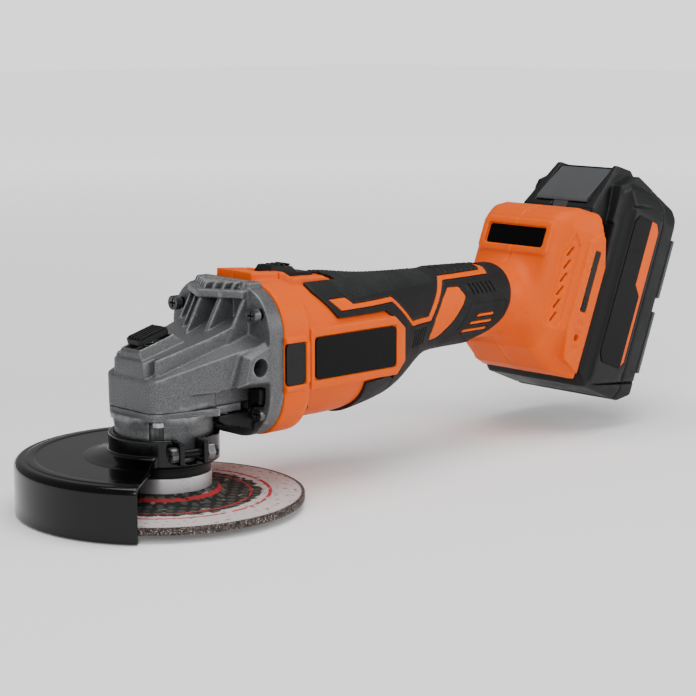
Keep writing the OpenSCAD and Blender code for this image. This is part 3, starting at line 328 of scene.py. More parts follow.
class Nodes:
    """Short ways to add shader nodes to one material."""

    def __init__(self, name: str) -> None:
        """Starts a material that holds one shader."""
        self.material = bpy.data.materials.new(name)
        self.material.use_nodes = True
        self.tree = self.material.node_tree
        self.shader = self.tree.nodes["Principled BSDF"]
        self.place = self.tree.nodes.new("ShaderNodeTexCoord").outputs["Object"]

    def link(self, source: bpy.types.NodeSocket, target: bpy.types.NodeSocket) -> None:
        """Joins two sockets."""
        self.tree.links.new(source, target)

    def noise(self, scale: float, detail: float = 3.0, stretch: Point3 = (1, 1, 1)) -> bpy.types.NodeSocket:
        """Adds noise.

        Args:
            scale: Grains per metre.
            detail: How many finer layers it has.
            stretch: Scale along each axis.

        Returns:
            The noise's value, about 0.5 in the middle.
        """
        mapping = self.tree.nodes.new("ShaderNodeMapping")
        mapping.inputs["Scale"].default_value = stretch
        self.link(self.place, mapping.inputs["Vector"])
        node = self.tree.nodes.new("ShaderNodeTexNoise")
        node.inputs["Scale"].default_value = scale
        node.inputs["Detail"].default_value = detail
        self.link(mapping.outputs[0], node.inputs["Vector"])
        return node.outputs["Fac"]

    def vector(self, kind: str, a: bpy.types.NodeSocket, b: Point3 = (0, 0, 0)) -> bpy.types.Node:
        """Adds one step of vector arithmetic."""
        node = self.tree.nodes.new("ShaderNodeVectorMath")
        node.operation = kind
        self.link(a, node.inputs[0])
        node.inputs[1].default_value = b
        return node

    def weave(self, way: Point3, scale: float) -> bpy.types.NodeSocket:
        """Returns a wave from 0 to 1 that runs one way across the surface."""
        along = self.vector("DOT_PRODUCT", self.place, tuple(part * scale for part in way))
        return self.ramp(self.math("SINE", along.outputs["Value"]), -1, 1)

    def ramp(self, value: bpy.types.NodeSocket, low: float, high: float,
             to: Point2 = (0, 1)) -> bpy.types.NodeSocket:
        """Stretches a value from one range to another, held at the ends."""
        node = self.tree.nodes.new("ShaderNodeMapRange")
        for socket, number in zip(node.inputs[1:5], (low, high, *to)):
            socket.default_value = number
        self.link(value, node.inputs[0])
        return node.outputs[0]

    def math(self, kind: str, a: bpy.types.NodeSocket | float,
             b: bpy.types.NodeSocket | float = 0.0) -> bpy.types.NodeSocket:
        """Adds one sum of two values."""
        node = self.tree.nodes.new("ShaderNodeMath")
        node.operation = kind
        for socket, value in zip(node.inputs, (a, b)):
            if isinstance(value, bpy.types.NodeSocket):
                self.link(value, socket)
            else:
                socket.default_value = value
        return node.outputs[0]

    def mix(self, share: bpy.types.NodeSocket, a: bpy.types.NodeSocket | Point3,
            b: bpy.types.NodeSocket | Point3) -> bpy.types.NodeSocket:
        """Mixes two colours."""
        node = self.tree.nodes.new("ShaderNodeMix")
        node.data_type = "RGBA"
        self.link(share, node.inputs[0])
        for socket, value in zip((node.inputs[6], node.inputs[7]), (a, b)):
            if isinstance(value, bpy.types.NodeSocket):
                self.link(value, socket)
            else:
                socket.default_value = linear(value)
        return node.outputs[2]

    def bump(self, height: bpy.types.NodeSocket, depth: float) -> None:
        """Raises the surface by a height, up to depth metres, over what was raised before."""
        node = self.tree.nodes.new("ShaderNodeBump")
        node.inputs["Distance"].default_value = depth
        node.inputs["Strength"].default_value = 1.0
        self.link(height, node.inputs["Height"])
        if self.shader.inputs["Normal"].links:
            self.link(self.shader.inputs["Normal"].links[0].from_socket, node.inputs["Normal"])
        self.link(node.outputs[0], self.shader.inputs["Normal"])

    def worn(self) -> bpy.types.NodeSocket:
        """Returns how far an edge stands out, 0 on flat areas and 1 on sharp edges."""
        edge = self.tree.nodes.new("ShaderNodeNewGeometry").outputs["Pointiness"]
        return self.ramp(edge, 0.515, 0.56)


@dataclass(frozen=True)
class Finish:
    """A moulded, cast or painted surface."""

    name: str
    colour: Point3
    """Colour as the eye reads it, 0 to 255."""
    rough: float = 0.5
    """How matt it is, from 0 to 1."""
    metal: float = 0.0
    """1 on bare metal."""
    grain: float = 1500.0
    """Grains of the surface's texture per metre."""
    depth: float = 0.00003
    """Height of the grain in metres."""
    drift: float = 0.12
    """How far the colour drifts over the surface."""
    edge: Point3 | None = None
    """Colour of a worn edge."""
    coat: float = 0.0
    """Share of clear lacquer."""
    brushed: Point3 = (1, 1, 1)
    """Stretch of the grain along each axis."""
    speckle: float = 0.0
    """How far single grains differ in colour."""
    glow: float = 0.5
    """Strength of the surface's reflections."""

    def make(self) -> bpy.types.Material:
        """Builds the material.

        Returns:
            The finished material.
        """
        nodes = Nodes(self.name)
        dark = tuple(c * (1 - self.drift) for c in self.colour)
        light = tuple(min(255.0, c * (1 + self.drift / 2)) for c in self.colour)
        tint = nodes.mix(nodes.ramp(nodes.noise(38, 5), 0.3, 0.7), dark, light)
        fine = nodes.noise(self.grain, 2, self.brushed)
        if self.speckle > 0:
            deep = tuple(c * (1 - self.speckle) for c in self.colour)
            tint = nodes.mix(nodes.ramp(fine, 0.62, 0.42, (0, 0.8)), tint, deep)
        if self.edge is not None:
            rub = nodes.math("MULTIPLY", nodes.worn(), nodes.ramp(nodes.noise(260, 4), 0.35, 0.6, (0.25, 1)))
            tint = nodes.mix(rub, tint, self.edge)
        nodes.link(tint, nodes.shader.inputs["Base Color"])
        gloss = nodes.ramp(nodes.noise(90, 6), 0.3, 0.7, (self.rough - 0.06, self.rough + 0.07))
        nodes.link(gloss, nodes.shader.inputs["Roughness"])
        nodes.shader.inputs["Metallic"].default_value = self.metal
        nodes.shader.inputs["Coat Weight"].default_value = self.coat
        nodes.shader.inputs["Coat Roughness"].default_value = 0.08
        nodes.shader.inputs["Specular IOR Level"].default_value = self.glow
        nodes.bump(fine, self.depth)
        nodes.bump(nodes.noise(220, 3), self.depth * 0.8)
        return nodes.material


FINISHES: dict[str, Finish] = {finish.name: finish for finish in (
    Finish("cast_alloy", (100, 101, 103), 0.42, 0.45, 1900, 0.00008, 0.05, (134, 135, 136), speckle=0.3),
    Finish("plated_steel", (168, 170, 172), 0.28, 1.0, 900, 0.00001, 0.08, brushed=(1, 1, 6)),
    Finish("black_screws", (26, 26, 28), 0.3, 0.7, 2500, 0.00001, 0.1, (120, 120, 122)),
    Finish("black_plastic", (9, 9, 10), 0.42, 0, 2600, 0.00002, 0.1, glow=0.25),
    Finish("gloss_black_plastic", (1, 1, 2), 0.24, 0, 300, 0.000002, 0.1, glow=0.12),
    Finish("bearing_steel", (186, 188, 190), 0.2, 1.0, 1500, 0.00001, 0.05),
    Finish("motor_laminations", (92, 94, 98), 0.42, 0.9, 800, 0.00004, 0.1, brushed=(40, 1, 1)),
    Finish("copper", (190, 104, 52), 0.3, 0.9, 700, 0.00006, 0.15, brushed=(1, 6, 6)),
    Finish("orange_plastic", (230, 88, 0), 0.46, 0, 2600, 0.00002, 0.03, (236, 100, 0), speckle=0.05,
           glow=0.12),
    Finish("grip_rubber", (20, 21, 22), 0.62, 0, 2800, 0.00005, 0.1, (40, 42, 43), speckle=0.12, glow=0.22),
    Finish("circuit_board", (24, 92, 54), 0.34, 0, 400, 0.00003, 0.2, coat=0.4),
    Finish("electronic_parts", (38, 40, 44), 0.4, 0.1, 1200, 0.00003, 0.2, (96, 98, 100)),
    Finish("bright_flange", (206, 208, 210), 0.3, 0.75, 700, 0.000012, 0.06, brushed=(1, 1, 7)),
    Finish("brass_ring", (188, 150, 72), 0.3, 0.95, 900, 0.00002, 0.12),
    Finish("nut_steel", (116, 117, 120), 0.34, 1.0, 1100, 0.00003, 0.1, (190, 190, 192)),
    Finish("guard_paint", (1, 1, 2), 0.12, 0, 420, 0.00001, 0.1, glow=0.3),
    Finish("battery_plastic", (14, 15, 16), 0.46, 0, 2400, 0.00003, 0.08, (34, 35, 37), glow=0.25),
    Finish("battery_grey", (66, 68, 70), 0.42, 0, 2400, 0.00003, 0.05, glow=0.35),
    Finish("cell_wrap", (58, 122, 78), 0.3, 0, 300, 0.00001, 0.1, coat=0.3),
)}


@dataclass(frozen=True)
class DiscFinish:
    """Bonded grit with a printed paper label, rings of print and a coarse cut face."""

    label_rs: Point2 = (43.0, 60.5)
    rings: tuple[Point2, ...] = ((47.0, 0.7), (24.5, 0.8), (38.5, 0.4))
    """Radius and half width of each printed ring."""
    grit: Point3 = (74, 60, 56)
    dark: Point3 = (20, 21, 20)
    paper: Point3 = (196, 186, 184)
    chip: Point3 = (168, 150, 140)
    """Colour of the palest grains in the cut edge."""
    thread: Point3 = (66, 68, 60)
    """Colour of the glass mesh that shows inside the label."""
    dust: Point3 = (150, 146, 140)
    smudge: Point3 = (96, 84, 82)
    print_red: Point3 = (176, 30, 38)
    threads: float = 900.0
    """How close together the mesh's threads are."""
    fade: float = 0.3
    """Width over which a printed ring fades out, in millimetres."""

    def make(self) -> bpy.types.Material:
        """Builds the material from the distance to the spindle.

        Returns:
            The finished material.
        """
        nodes = Nodes("abrasive")
        flat = nodes.vector("MULTIPLY", nodes.place, (1000, 1000, 0))
        radius = nodes.vector("LENGTH", flat.outputs[0]).outputs["Value"]
        grains, coarse = nodes.noise(900, 3), nodes.noise(240, 4)
        body = nodes.mix(nodes.ramp(grains, 0.38, 0.62), self.dark, self.grit)
        body = nodes.mix(nodes.ramp(nodes.noise(1500, 1), 0.62, 0.68), body, self.chip)
        mesh = nodes.math("MULTIPLY", *(nodes.weave((1, way, 0), self.threads) for way in (1, -1)))
        middle = nodes.mix(nodes.ramp(mesh, 0.1, 0.5), self.dark, self.thread)
        middle = nodes.mix(nodes.ramp(coarse, 0.6, 0.7), middle, self.dust)
        wander = nodes.math("ADD", radius, nodes.ramp(coarse, 0.2, 0.8, (-3, 3)))
        paper = nodes.mix(nodes.ramp(nodes.noise(420, 3), 0.58, 0.7), self.paper, self.smudge)
        face = nodes.mix(nodes.ramp(wander, self.label_rs[0] - 1, self.label_rs[0]), middle, paper)
        for ring, half in self.rings:
            near = nodes.math("ABSOLUTE", nodes.math("SUBTRACT", radius, ring))
            broken = nodes.math("MULTIPLY", nodes.ramp(near, half + self.fade, half),
                                nodes.ramp(coarse, 0.36, 0.46))
            face = nodes.mix(broken, face, self.print_red)
        upward = nodes.tree.nodes.new("ShaderNodeSeparateXYZ")
        nodes.link(nodes.tree.nodes.new("ShaderNodeNewGeometry").outputs["True Normal"], upward.inputs[0])
        printed = nodes.math("MULTIPLY", nodes.ramp(radius, self.label_rs[1] + 0.6, self.label_rs[1]),
                             nodes.ramp(upward.outputs[2], 0.3, 0.5))
        nodes.link(nodes.mix(printed, body, face), nodes.shader.inputs["Base Color"])
        nodes.link(nodes.ramp(grains, 0.3, 0.7, (0.95, 0.62)), nodes.shader.inputs["Roughness"])
        nodes.bump(grains, 0.0004)
        nodes.bump(coarse, 0.0002)
        return nodes.material


@dataclass(frozen=True)
class LabelFinish:
    """A glossy black label with an orange band along its rear edge, in the battery's tilted frame."""

    origin: Point3 = (0.2614, 0, 0.0703)
    angle: float = 22.0
    band_from: float = 25.6
    band_low: float = -31.0
    step_at: float = 8.0
    """Height along the battery at which the band grows wider."""
    step_l: float = 5.0
    """Height over which it does so."""
    black: Point3 = (1, 1, 2)
    orange: Point3 = (230, 88, 0)

    def make(self) -> bpy.types.Material:
        """Builds the material.

        Returns:
            The finished material.
        """
        nodes = Nodes("battery_label")
        c, s = math.cos(math.radians(self.angle)), math.sin(math.radians(self.angle))
        here = nodes.vector("SUBTRACT", nodes.place, self.origin).outputs[0]
        back = nodes.vector("DOT_PRODUCT", here, (c * 1000, 0, -s * 1000)).outputs["Value"]
        up = nodes.vector("DOT_PRODUCT", here, (s * 1000, 0, c * 1000)).outputs["Value"]
        shift = nodes.ramp(up, self.step_at, self.step_at + self.step_l, (2.2, -3.0))
        edge = nodes.math("SUBTRACT", back, shift)
        band = nodes.math("MULTIPLY", nodes.ramp(edge, self.band_from, self.band_from + 0.15),
                          nodes.ramp(up, self.band_low, self.band_low + 0.2))
        tint = nodes.mix(nodes.ramp(nodes.noise(60, 3), 0.3, 0.7), self.black, (7, 7, 8))
        nodes.link(nodes.mix(band, tint, self.orange), nodes.shader.inputs["Base Color"])
        nodes.link(nodes.ramp(nodes.noise(90, 5), 0.3, 0.7, (0.2, 0.3)), nodes.shader.inputs["Roughness"])
        nodes.shader.inputs["Specular IOR Level"].default_value = 0.12
        nodes.bump(nodes.noise(500, 2), 0.000004)
        return nodes.material


@dataclass
class Workshop:
    """Makes each finish once, and puts it on pieces."""

    made: dict[str, bpy.types.Material] = field(default_factory=dict)

    def dress(self, piece: bpy.types.Object, slot: str, finish: str | None = None) -> None:
        """Puts a finish on every face of a piece.

        Args:
            piece: The piece, or a node of the frame.
            slot: The record's material slot.
            finish: The finish, where it isn't the slot's own.
        """
        name = finish or slot
        if name not in self.made:
            special = {"abrasive": DiscFinish, "label": LabelFinish}
            self.made[name] = special[name]().make() if name in special else FINISHES[name].make()
        piece.data.materials.clear()
        piece.data.materials.append(self.made[name])

    def soften(self, node: bpy.types.Object, width: float = 0.25) -> None:
        """Rounds the sharp edges of a node of the frame.

        Args:
            node: The node.
            width: Width of the rounding in millimetres.
        """
        weld = node.modifiers.new("weld", "WELD")
        weld.merge_threshold = 0.00001
        bevel = node.modifiers.new("bevel", "BEVEL")
        bevel.width = width * MM
        bevel.segments = 2
        bevel.limit_method = "ANGLE"
        bevel.angle_limit = math.radians(40)
        bevel.use_clamp_overlap = True
        node.modifiers.new("normals", "WEIGHTED_NORMAL")
        for polygon in node.data.polygons:
            polygon.use_smooth = True


# ---------------------------------------------------------------- the cast gear head

@dataclass
class GearHead:
    """The cast housing round the gears, with its air outlet tower and the bosses of the side handle."""

    step: float = 0.4
    front_x: float = -19.6
    flank: Point3 = (18.7, 0.24, 0.05)
    """Half width near the front, and how much it grows with X and with Z."""
    corner: float = 5.0
    """Radius of the corners beside the front."""
    cover_z: float = 40.6
    """Underside of the bearing cover's plate."""
    bottom_z: float = 44.35
    deck_plan: tuple[Point2, ...] = ((-18.9, -1), (-18.9, 10.4), (-13.6, 15.4), (-5, 16.2), (20, 18.6),
                                     (41, 20.6), (41, -1))
    deck_top: tuple[Point2, ...] = ((-22, 65.6), (12.4, 74.4), (35, 81.6), (45, 82.6))
    """X and height along the top of the deck."""
    boss: tuple[Point2, ...] = ((20.6, 67.2), (16.8, 53.2), (31.0, 52.4), (40, 51), (40, 76), (32.5, 71.8))
    boss_face: float = 34.5
    seat: tuple[Point2, ...] = ((-18.1, 60), (-18.1, 69.8), (-17.5, 71.3), (0.9, 76.4), (5.0, 73), (5.0, 60))
    """Side outline of the lock button's seat."""
    seat_half: float = 6.5
    belly: tuple[Point2, ...] = ((13.8, 40.3), (13.8, 37.4), (17, 35.2), (34, 30.9), (40.8, 30.9),
                                 (40.8, 40.3))
    # Side outline of the black air baffle's lobe under the head, a dark piece that paints the shade under the
    # head.
    """Side outline of the air baffle under the head."""
    ledge_z: float = 52.0
    waist_x: float = 12.5
    waist_half: float = 20.2
    """Half the width of the body under the ledge."""
    flange: Point2 = (33.0, 41.0)
    flange_half: float = 34.5
    flange_corner: float = 22.0
    tower_half: float = 19.4
    tower_wall: float = 1.7
    top_z: float = 97.0
    vee: float = 0.54
    """How far the tower's front falls back for each millimetre to the side."""
    bars: tuple[float, ...] = (-8.5, 0.0, 8.5)
    bar_half: float = 1.0
    hole: Point3 = (27.5, 61.5, 4.0)
    """X, Z and radius of the side handle's hole."""
    lug_reach: float = 33.4
    lug_top: float = 33.9
    """Space that the guard's lugs sweep through when the guard is turned."""
    screw_out: float = 27.5
    screw_up: float = 22.3
    screw_r: float = 2.3
    hole_depth: float = 12.0
    button: Point3 = (-8.0, 0.0, 74.8)
    button_tilt: float = 15.5
    button_half: Point2 = (8.25, 5.5)

    def sides(self, s: Space) -> np.ndarray:
        """Returns the upright flanks and front, with round corners between them."""
        half, with_x, with_z = self.flank
        flank = (np.abs(s.y) - half - with_x * (s.x + 12) - with_z * (s.z - self.cover_z)) / 1.03
        return rounded([flank, self.front_x - s.x + 0.02 * (s.z - 44)], self.corner)

    def body(self, s: Space) -> np.ndarray:
        """Models the flanks, the front and the sloping shoulders."""
        shoulder = s.folded().under((-11.9, 20.2, 60.0), (33, 31.4, 71.3), (-8.7, 15.2, 62.4), (0, 0, 50))
        brow = s.under((self.front_x, 0, 59.8), (self.front_x, 9, 59.8), (-14.0, 0, 62.2), (0, 0, 50))
        shell = keep(self.sides(s), keep(shoulder, brow, 1.6), 0.9)
        lid = s.z - 62.8 - 0.396 * (s.x + 8.7)
        shell = keep(shell, lid, 1.0)
        shell = all_of([shell, self.bottom_z - s.z, s.x - 37], 0.5)
        return cut(shell, self.waist(s), 1.0)

    def waist(self, s: Space) -> np.ndarray:
        """Returns the space under each ledge, where the head grows narrow towards the motor."""
        return all_of([self.waist_half - np.abs(s.y), self.waist_x - s.x, s.z - self.ledge_z], 0.8)

    def deck(self, s: Space) -> np.ndarray:
        """Models the raised deck on top, with its skirt and the notch in the skirt."""
        side = np.abs(s.y)
        top = np.interp(s.x[:, 0, 0], *zip(*self.deck_top)).astype(np.float32)
        foot = 60.4 + 0.3 * (s.x + 8.7) - s.z
        deck = all_of([outline(s.x, side, self.deck_plan), s.z - top[:, None, None], foot], 0.6)
        notch = rounded([slab(side, 11.4, 13.6), slab(s.x, -26, -13.4)], 0.3)
        return cut(deck, notch, 0.6)

    def tower(self, s: Space) -> np.ndarray:
        """Models the air outlet with its barred front and slotted top."""
        side = np.abs(s.y)
        u = s.x - self.vee * side
        lean = np.broadcast_to(u, (len(s.x), s.y.shape[1], 1))
        shape = self.tower_shape(lean, s.z)
        tower = all_of([shape, side - self.tower_half, s.x - 41.4], 0.8)
        for low, high in self.gaps():
            pane = all_of([slab(s.y, low, high), self.pane_shape(lean, s.z)], 0.4)
            tower = cut(tower, pane, 0.5)
        fins = np.abs((s.y + 2.0) % 4.0 - 2.0) - 0.75
        louvre = all_of([-fins, s.x - 34.0, 23.4 - u, 90.6 - s.z, side - self.tower_half + 2.2], 0.2)
        teeth = np.abs((s.y + 1.0) % 2.0 - 1.0) - 0.45
        comb = all_of([-teeth, slab(s.x, 34.8, 39.4), self.top_z - 0.9 - s.z,
                       side - self.tower_half + 3], 0.2)
        return cut(cut(tower, louvre, 0.3), comb, 0.2)

    def tower_shape(self, u: np.ndarray, z: np.ndarray) -> np.ndarray:
        """Returns the tower's side outline, where u runs back from its leaning front edge."""
        wall = (-(u - 11.6) * 0.871 + (z - 73.6) * 0.491)
        rail = rounded([slab(u, 19.4, 26.0), slab(z, 90.2, 93.9)], 0.8)
        slope = z - self.top_z + np.maximum(22.6 - u, 0) * 0.55
        return join(all_of([wall, 66 - z, slope], 0.8), rail, 0.4)

    def pane_shape(self, u: np.ndarray, z: np.ndarray) -> np.ndarray:
        """Returns the side outline of the openings between the bars."""
        return all_of([u - 37.0, 74.8 + 0.3 * (u - 12.4) - z, z - 90.1], 0.4)

    def gaps(self) -> list[Point2]:
        """Returns where each opening between the bars lies across the tower."""
        inner = self.tower_half - self.tower_wall
        bars = (edge for bar in self.bars for edge in (bar - self.bar_half, bar + self.bar_half))
        edges = [-inner, *bars, inner]
        return list(zip(edges[::2], edges[1::2]))

    def bosses(self, s: Space) -> np.ndarray:
        """Models the bosses that take the side handle."""
        side = np.abs(s.y)
        taper = outline(s.x, s.z, self.boss) + np.maximum(side - 30.5, 0) * 0.55
        return keep(taper, side - self.boss_face, 1.0)

    def pedestal(self, s: Space) -> np.ndarray:
        """Models the raised seat of the lock button."""
        side = outline(s.x, s.z, self.seat)
        return keep(side, np.abs(s.y) - self.seat_half + (s.z - 72 - 0.28 * (s.x + 16)) * 0.4, 0.4)

    def rim(self, s: Space, inset: float) -> np.ndarray:
        """Returns the outline of the flange, moved in by inset millimetres."""
        half = self.flange_half - inset
        return rounded([slab(s.z, AXIS_Z - half, AXIS_Z + half), slab(s.y, -half, half)],
                       self.flange_corner - inset)

    def solid(self, s: Space) -> np.ndarray:
        """Puts the head together and cuts its holes."""
        side = np.abs(s.y)
        head = join(self.body(s), self.deck(s), 0.8)
        plate = keep(self.rim(s, 0), slab(s.x, *self.flange), 0.9)
        plate = keep(plate, s.z - 94.6, 0.8)
        recess = all_of([self.rim(s, 4.0), 21.2 - side, s.z - 51.4, s.x - 37.4])
        head = join(head, cut(plate, recess, 0.6), 1.2)
        head = join(head, self.tower(s), 0.7)
        head = cut(head, recess, 0.3)
        head = join(head, self.bosses(s), 1.6)
        head = join(head, self.pedestal(s), 1.0)
        for across in (-self.screw_out, self.screw_out):
            head = cut(head, s.rod_x(across, AXIS_Z + self.screw_up, 5.0, (8, 31.0)), 0.8)
            for up in (self.screw_up, -self.screw_up):
                head = cut(head, s.rod_x(across, AXIS_Z + up, self.screw_r, (20, 45)))
        for way in Side:
            ends = sorted((way.value * (self.boss_face - self.hole_depth), way.value * 36))
            head = cut(head, s.rod_y(*self.hole, ends), 0.5)
        along, above = turned(s.x - self.button[0], s.z - self.button[2], self.button_tilt)
        pocket = rounded([slab(along, -self.button_half[0] - 1.5, self.button_half[0] + 0.5),
                          slab(s.y, -self.button_half[1] - 0.5, self.button_half[1] + 0.5)], 1.2)
        pocket = keep(pocket, slab(above, -4.4, 20))
        head = cut(head, pocket, 0.4)
        head = cut(head, s.rod_z(0, 0, 17.5, (40, 58)))
        return cut(head, s.rod_x(0, AXIS_Z, 27.5, (36, 45)))

    def build(self, workshop: Workshop) -> list[bpy.types.Object]:
        """Builds the casting, its cover and the black air baffle, whose visible lobes are painted shade, and
        hangs them on the housing.

        Args:
            workshop: Where its finish comes from.

        Returns:
            The new pieces.
        """
        s = Space((-23, -35, 26.5), (42, 35, 98), self.step)
        c = Space((-21, -24, 21.8), (28.5, 24, 44.6), self.step)
        b = Space((13, -32, 29.5), (41.4, 32, 52), self.step)
        made = ((s.mesh("gear_housing_casting", self.solid(s)), "cast_alloy", "gear_housing"),
                (c.mesh("bearing_cover_casting", self.cover(c)), "cast_alloy", "bearing_cover"),
                # The black air baffle's visible lobes are painted shade in the flange's recess and under the
                # head.
                (b.mesh("air_baffle_painted_shade", self.baffle(b)), "black_plastic", "air_baffle"))
        for piece, slot, node in made:
            workshop.dress(piece, slot)
            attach(piece, "housing")
            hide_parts(node)
        return [piece for piece, _, _ in made]

    def cover(self, s: Space) -> np.ndarray:
        """Models the cover under the gears, with the neck that the guard clamps on."""
        radius = np.hypot(s.x, s.y)
        plate = all_of([self.sides(s) + 0.1, slab(s.z, self.cover_z, 44.25), s.x - 28.0], 0.5)
        neck = keep(radius - 22 - np.clip((s.z - 36) / 5, 0, 1), slab(s.z, 21.8, 42), 0.5)
        cover = join(cut(plate, self.waist(s), 0.6), neck, 0.8)
        for x, y in ((self.front_x + 4.0, 14.6), (20, 17)):
            for way in Side:
                cover = cut(cover, s.rod_z(x, y * way.value, 3.2, (30, self.cover_z)), 0.3)
        return cut(cover, s.rod_z(0, 0, 12.6, (10, 60)))

    def baffle(self, s: Space) -> np.ndarray:
        """Models the black air baffle behind the head, a real part whose lobes that show in the flange's
        recess and under the head are painted shade.
        """
        side = np.abs(s.y)
        # Lobes in the flange's recess, black to paint the shade there.
        corners = all_of([self.rim(s, 4.3), slab(s.x, 30.4, 37.2), 21.4 - side, s.z - 51.2], 0.8)
        # Lobe under the head, black to paint the shade there.
        belly_half = side - 21.6 - np.clip((s.x - 20) / 10, 0, 1) * 1.5
        belly = keep(outline(s.x, s.z, self.belly), belly_half, 1.2)
        solid = join(corners, belly, 1.0)
        for across in (-self.screw_out, self.screw_out):
            solid = cut(solid, s.rod_x(across, AXIS_Z - self.screw_up, 4.6, (25, 33.8)), 0.5)
            solid = cut(solid, s.rod_x(across, AXIS_Z - self.screw_up, self.screw_r, (25, 45)))
        swept = all_of([np.hypot(s.x, s.y) - self.lug_reach, s.z - self.lug_top])
        return cut(cut(solid, swept, 0.3), s.rod_x(0, AXIS_Z, 25.2, (10, 50)), 0.3)


# ---------------------------------------------------------------- the moulded body and its grips

@dataclass(frozen=True)
class Tilt:
    """The battery's frame, which leans back: a runs back from the foot, b runs up along the battery."""

    origin: Point2 = (261.4, 70.3)
    angle: float = 22.0

    def parts(self, x: np.ndarray, z: np.ndarray) -> tuple[np.ndarray, np.ndarray]:
        """Takes X and Z in the row frame to a and b."""
        return turned(x - self.origin[0], z - self.origin[1], -self.angle)

    def place(self, points: np.ndarray) -> np.ndarray:
        """Takes points (a, y, b) to the row frame."""
        a, y, b = points.T
        x, z = turned(a, b, self.angle)
        return np.stack([self.origin[0] + x, y, self.origin[1] + z], 1)


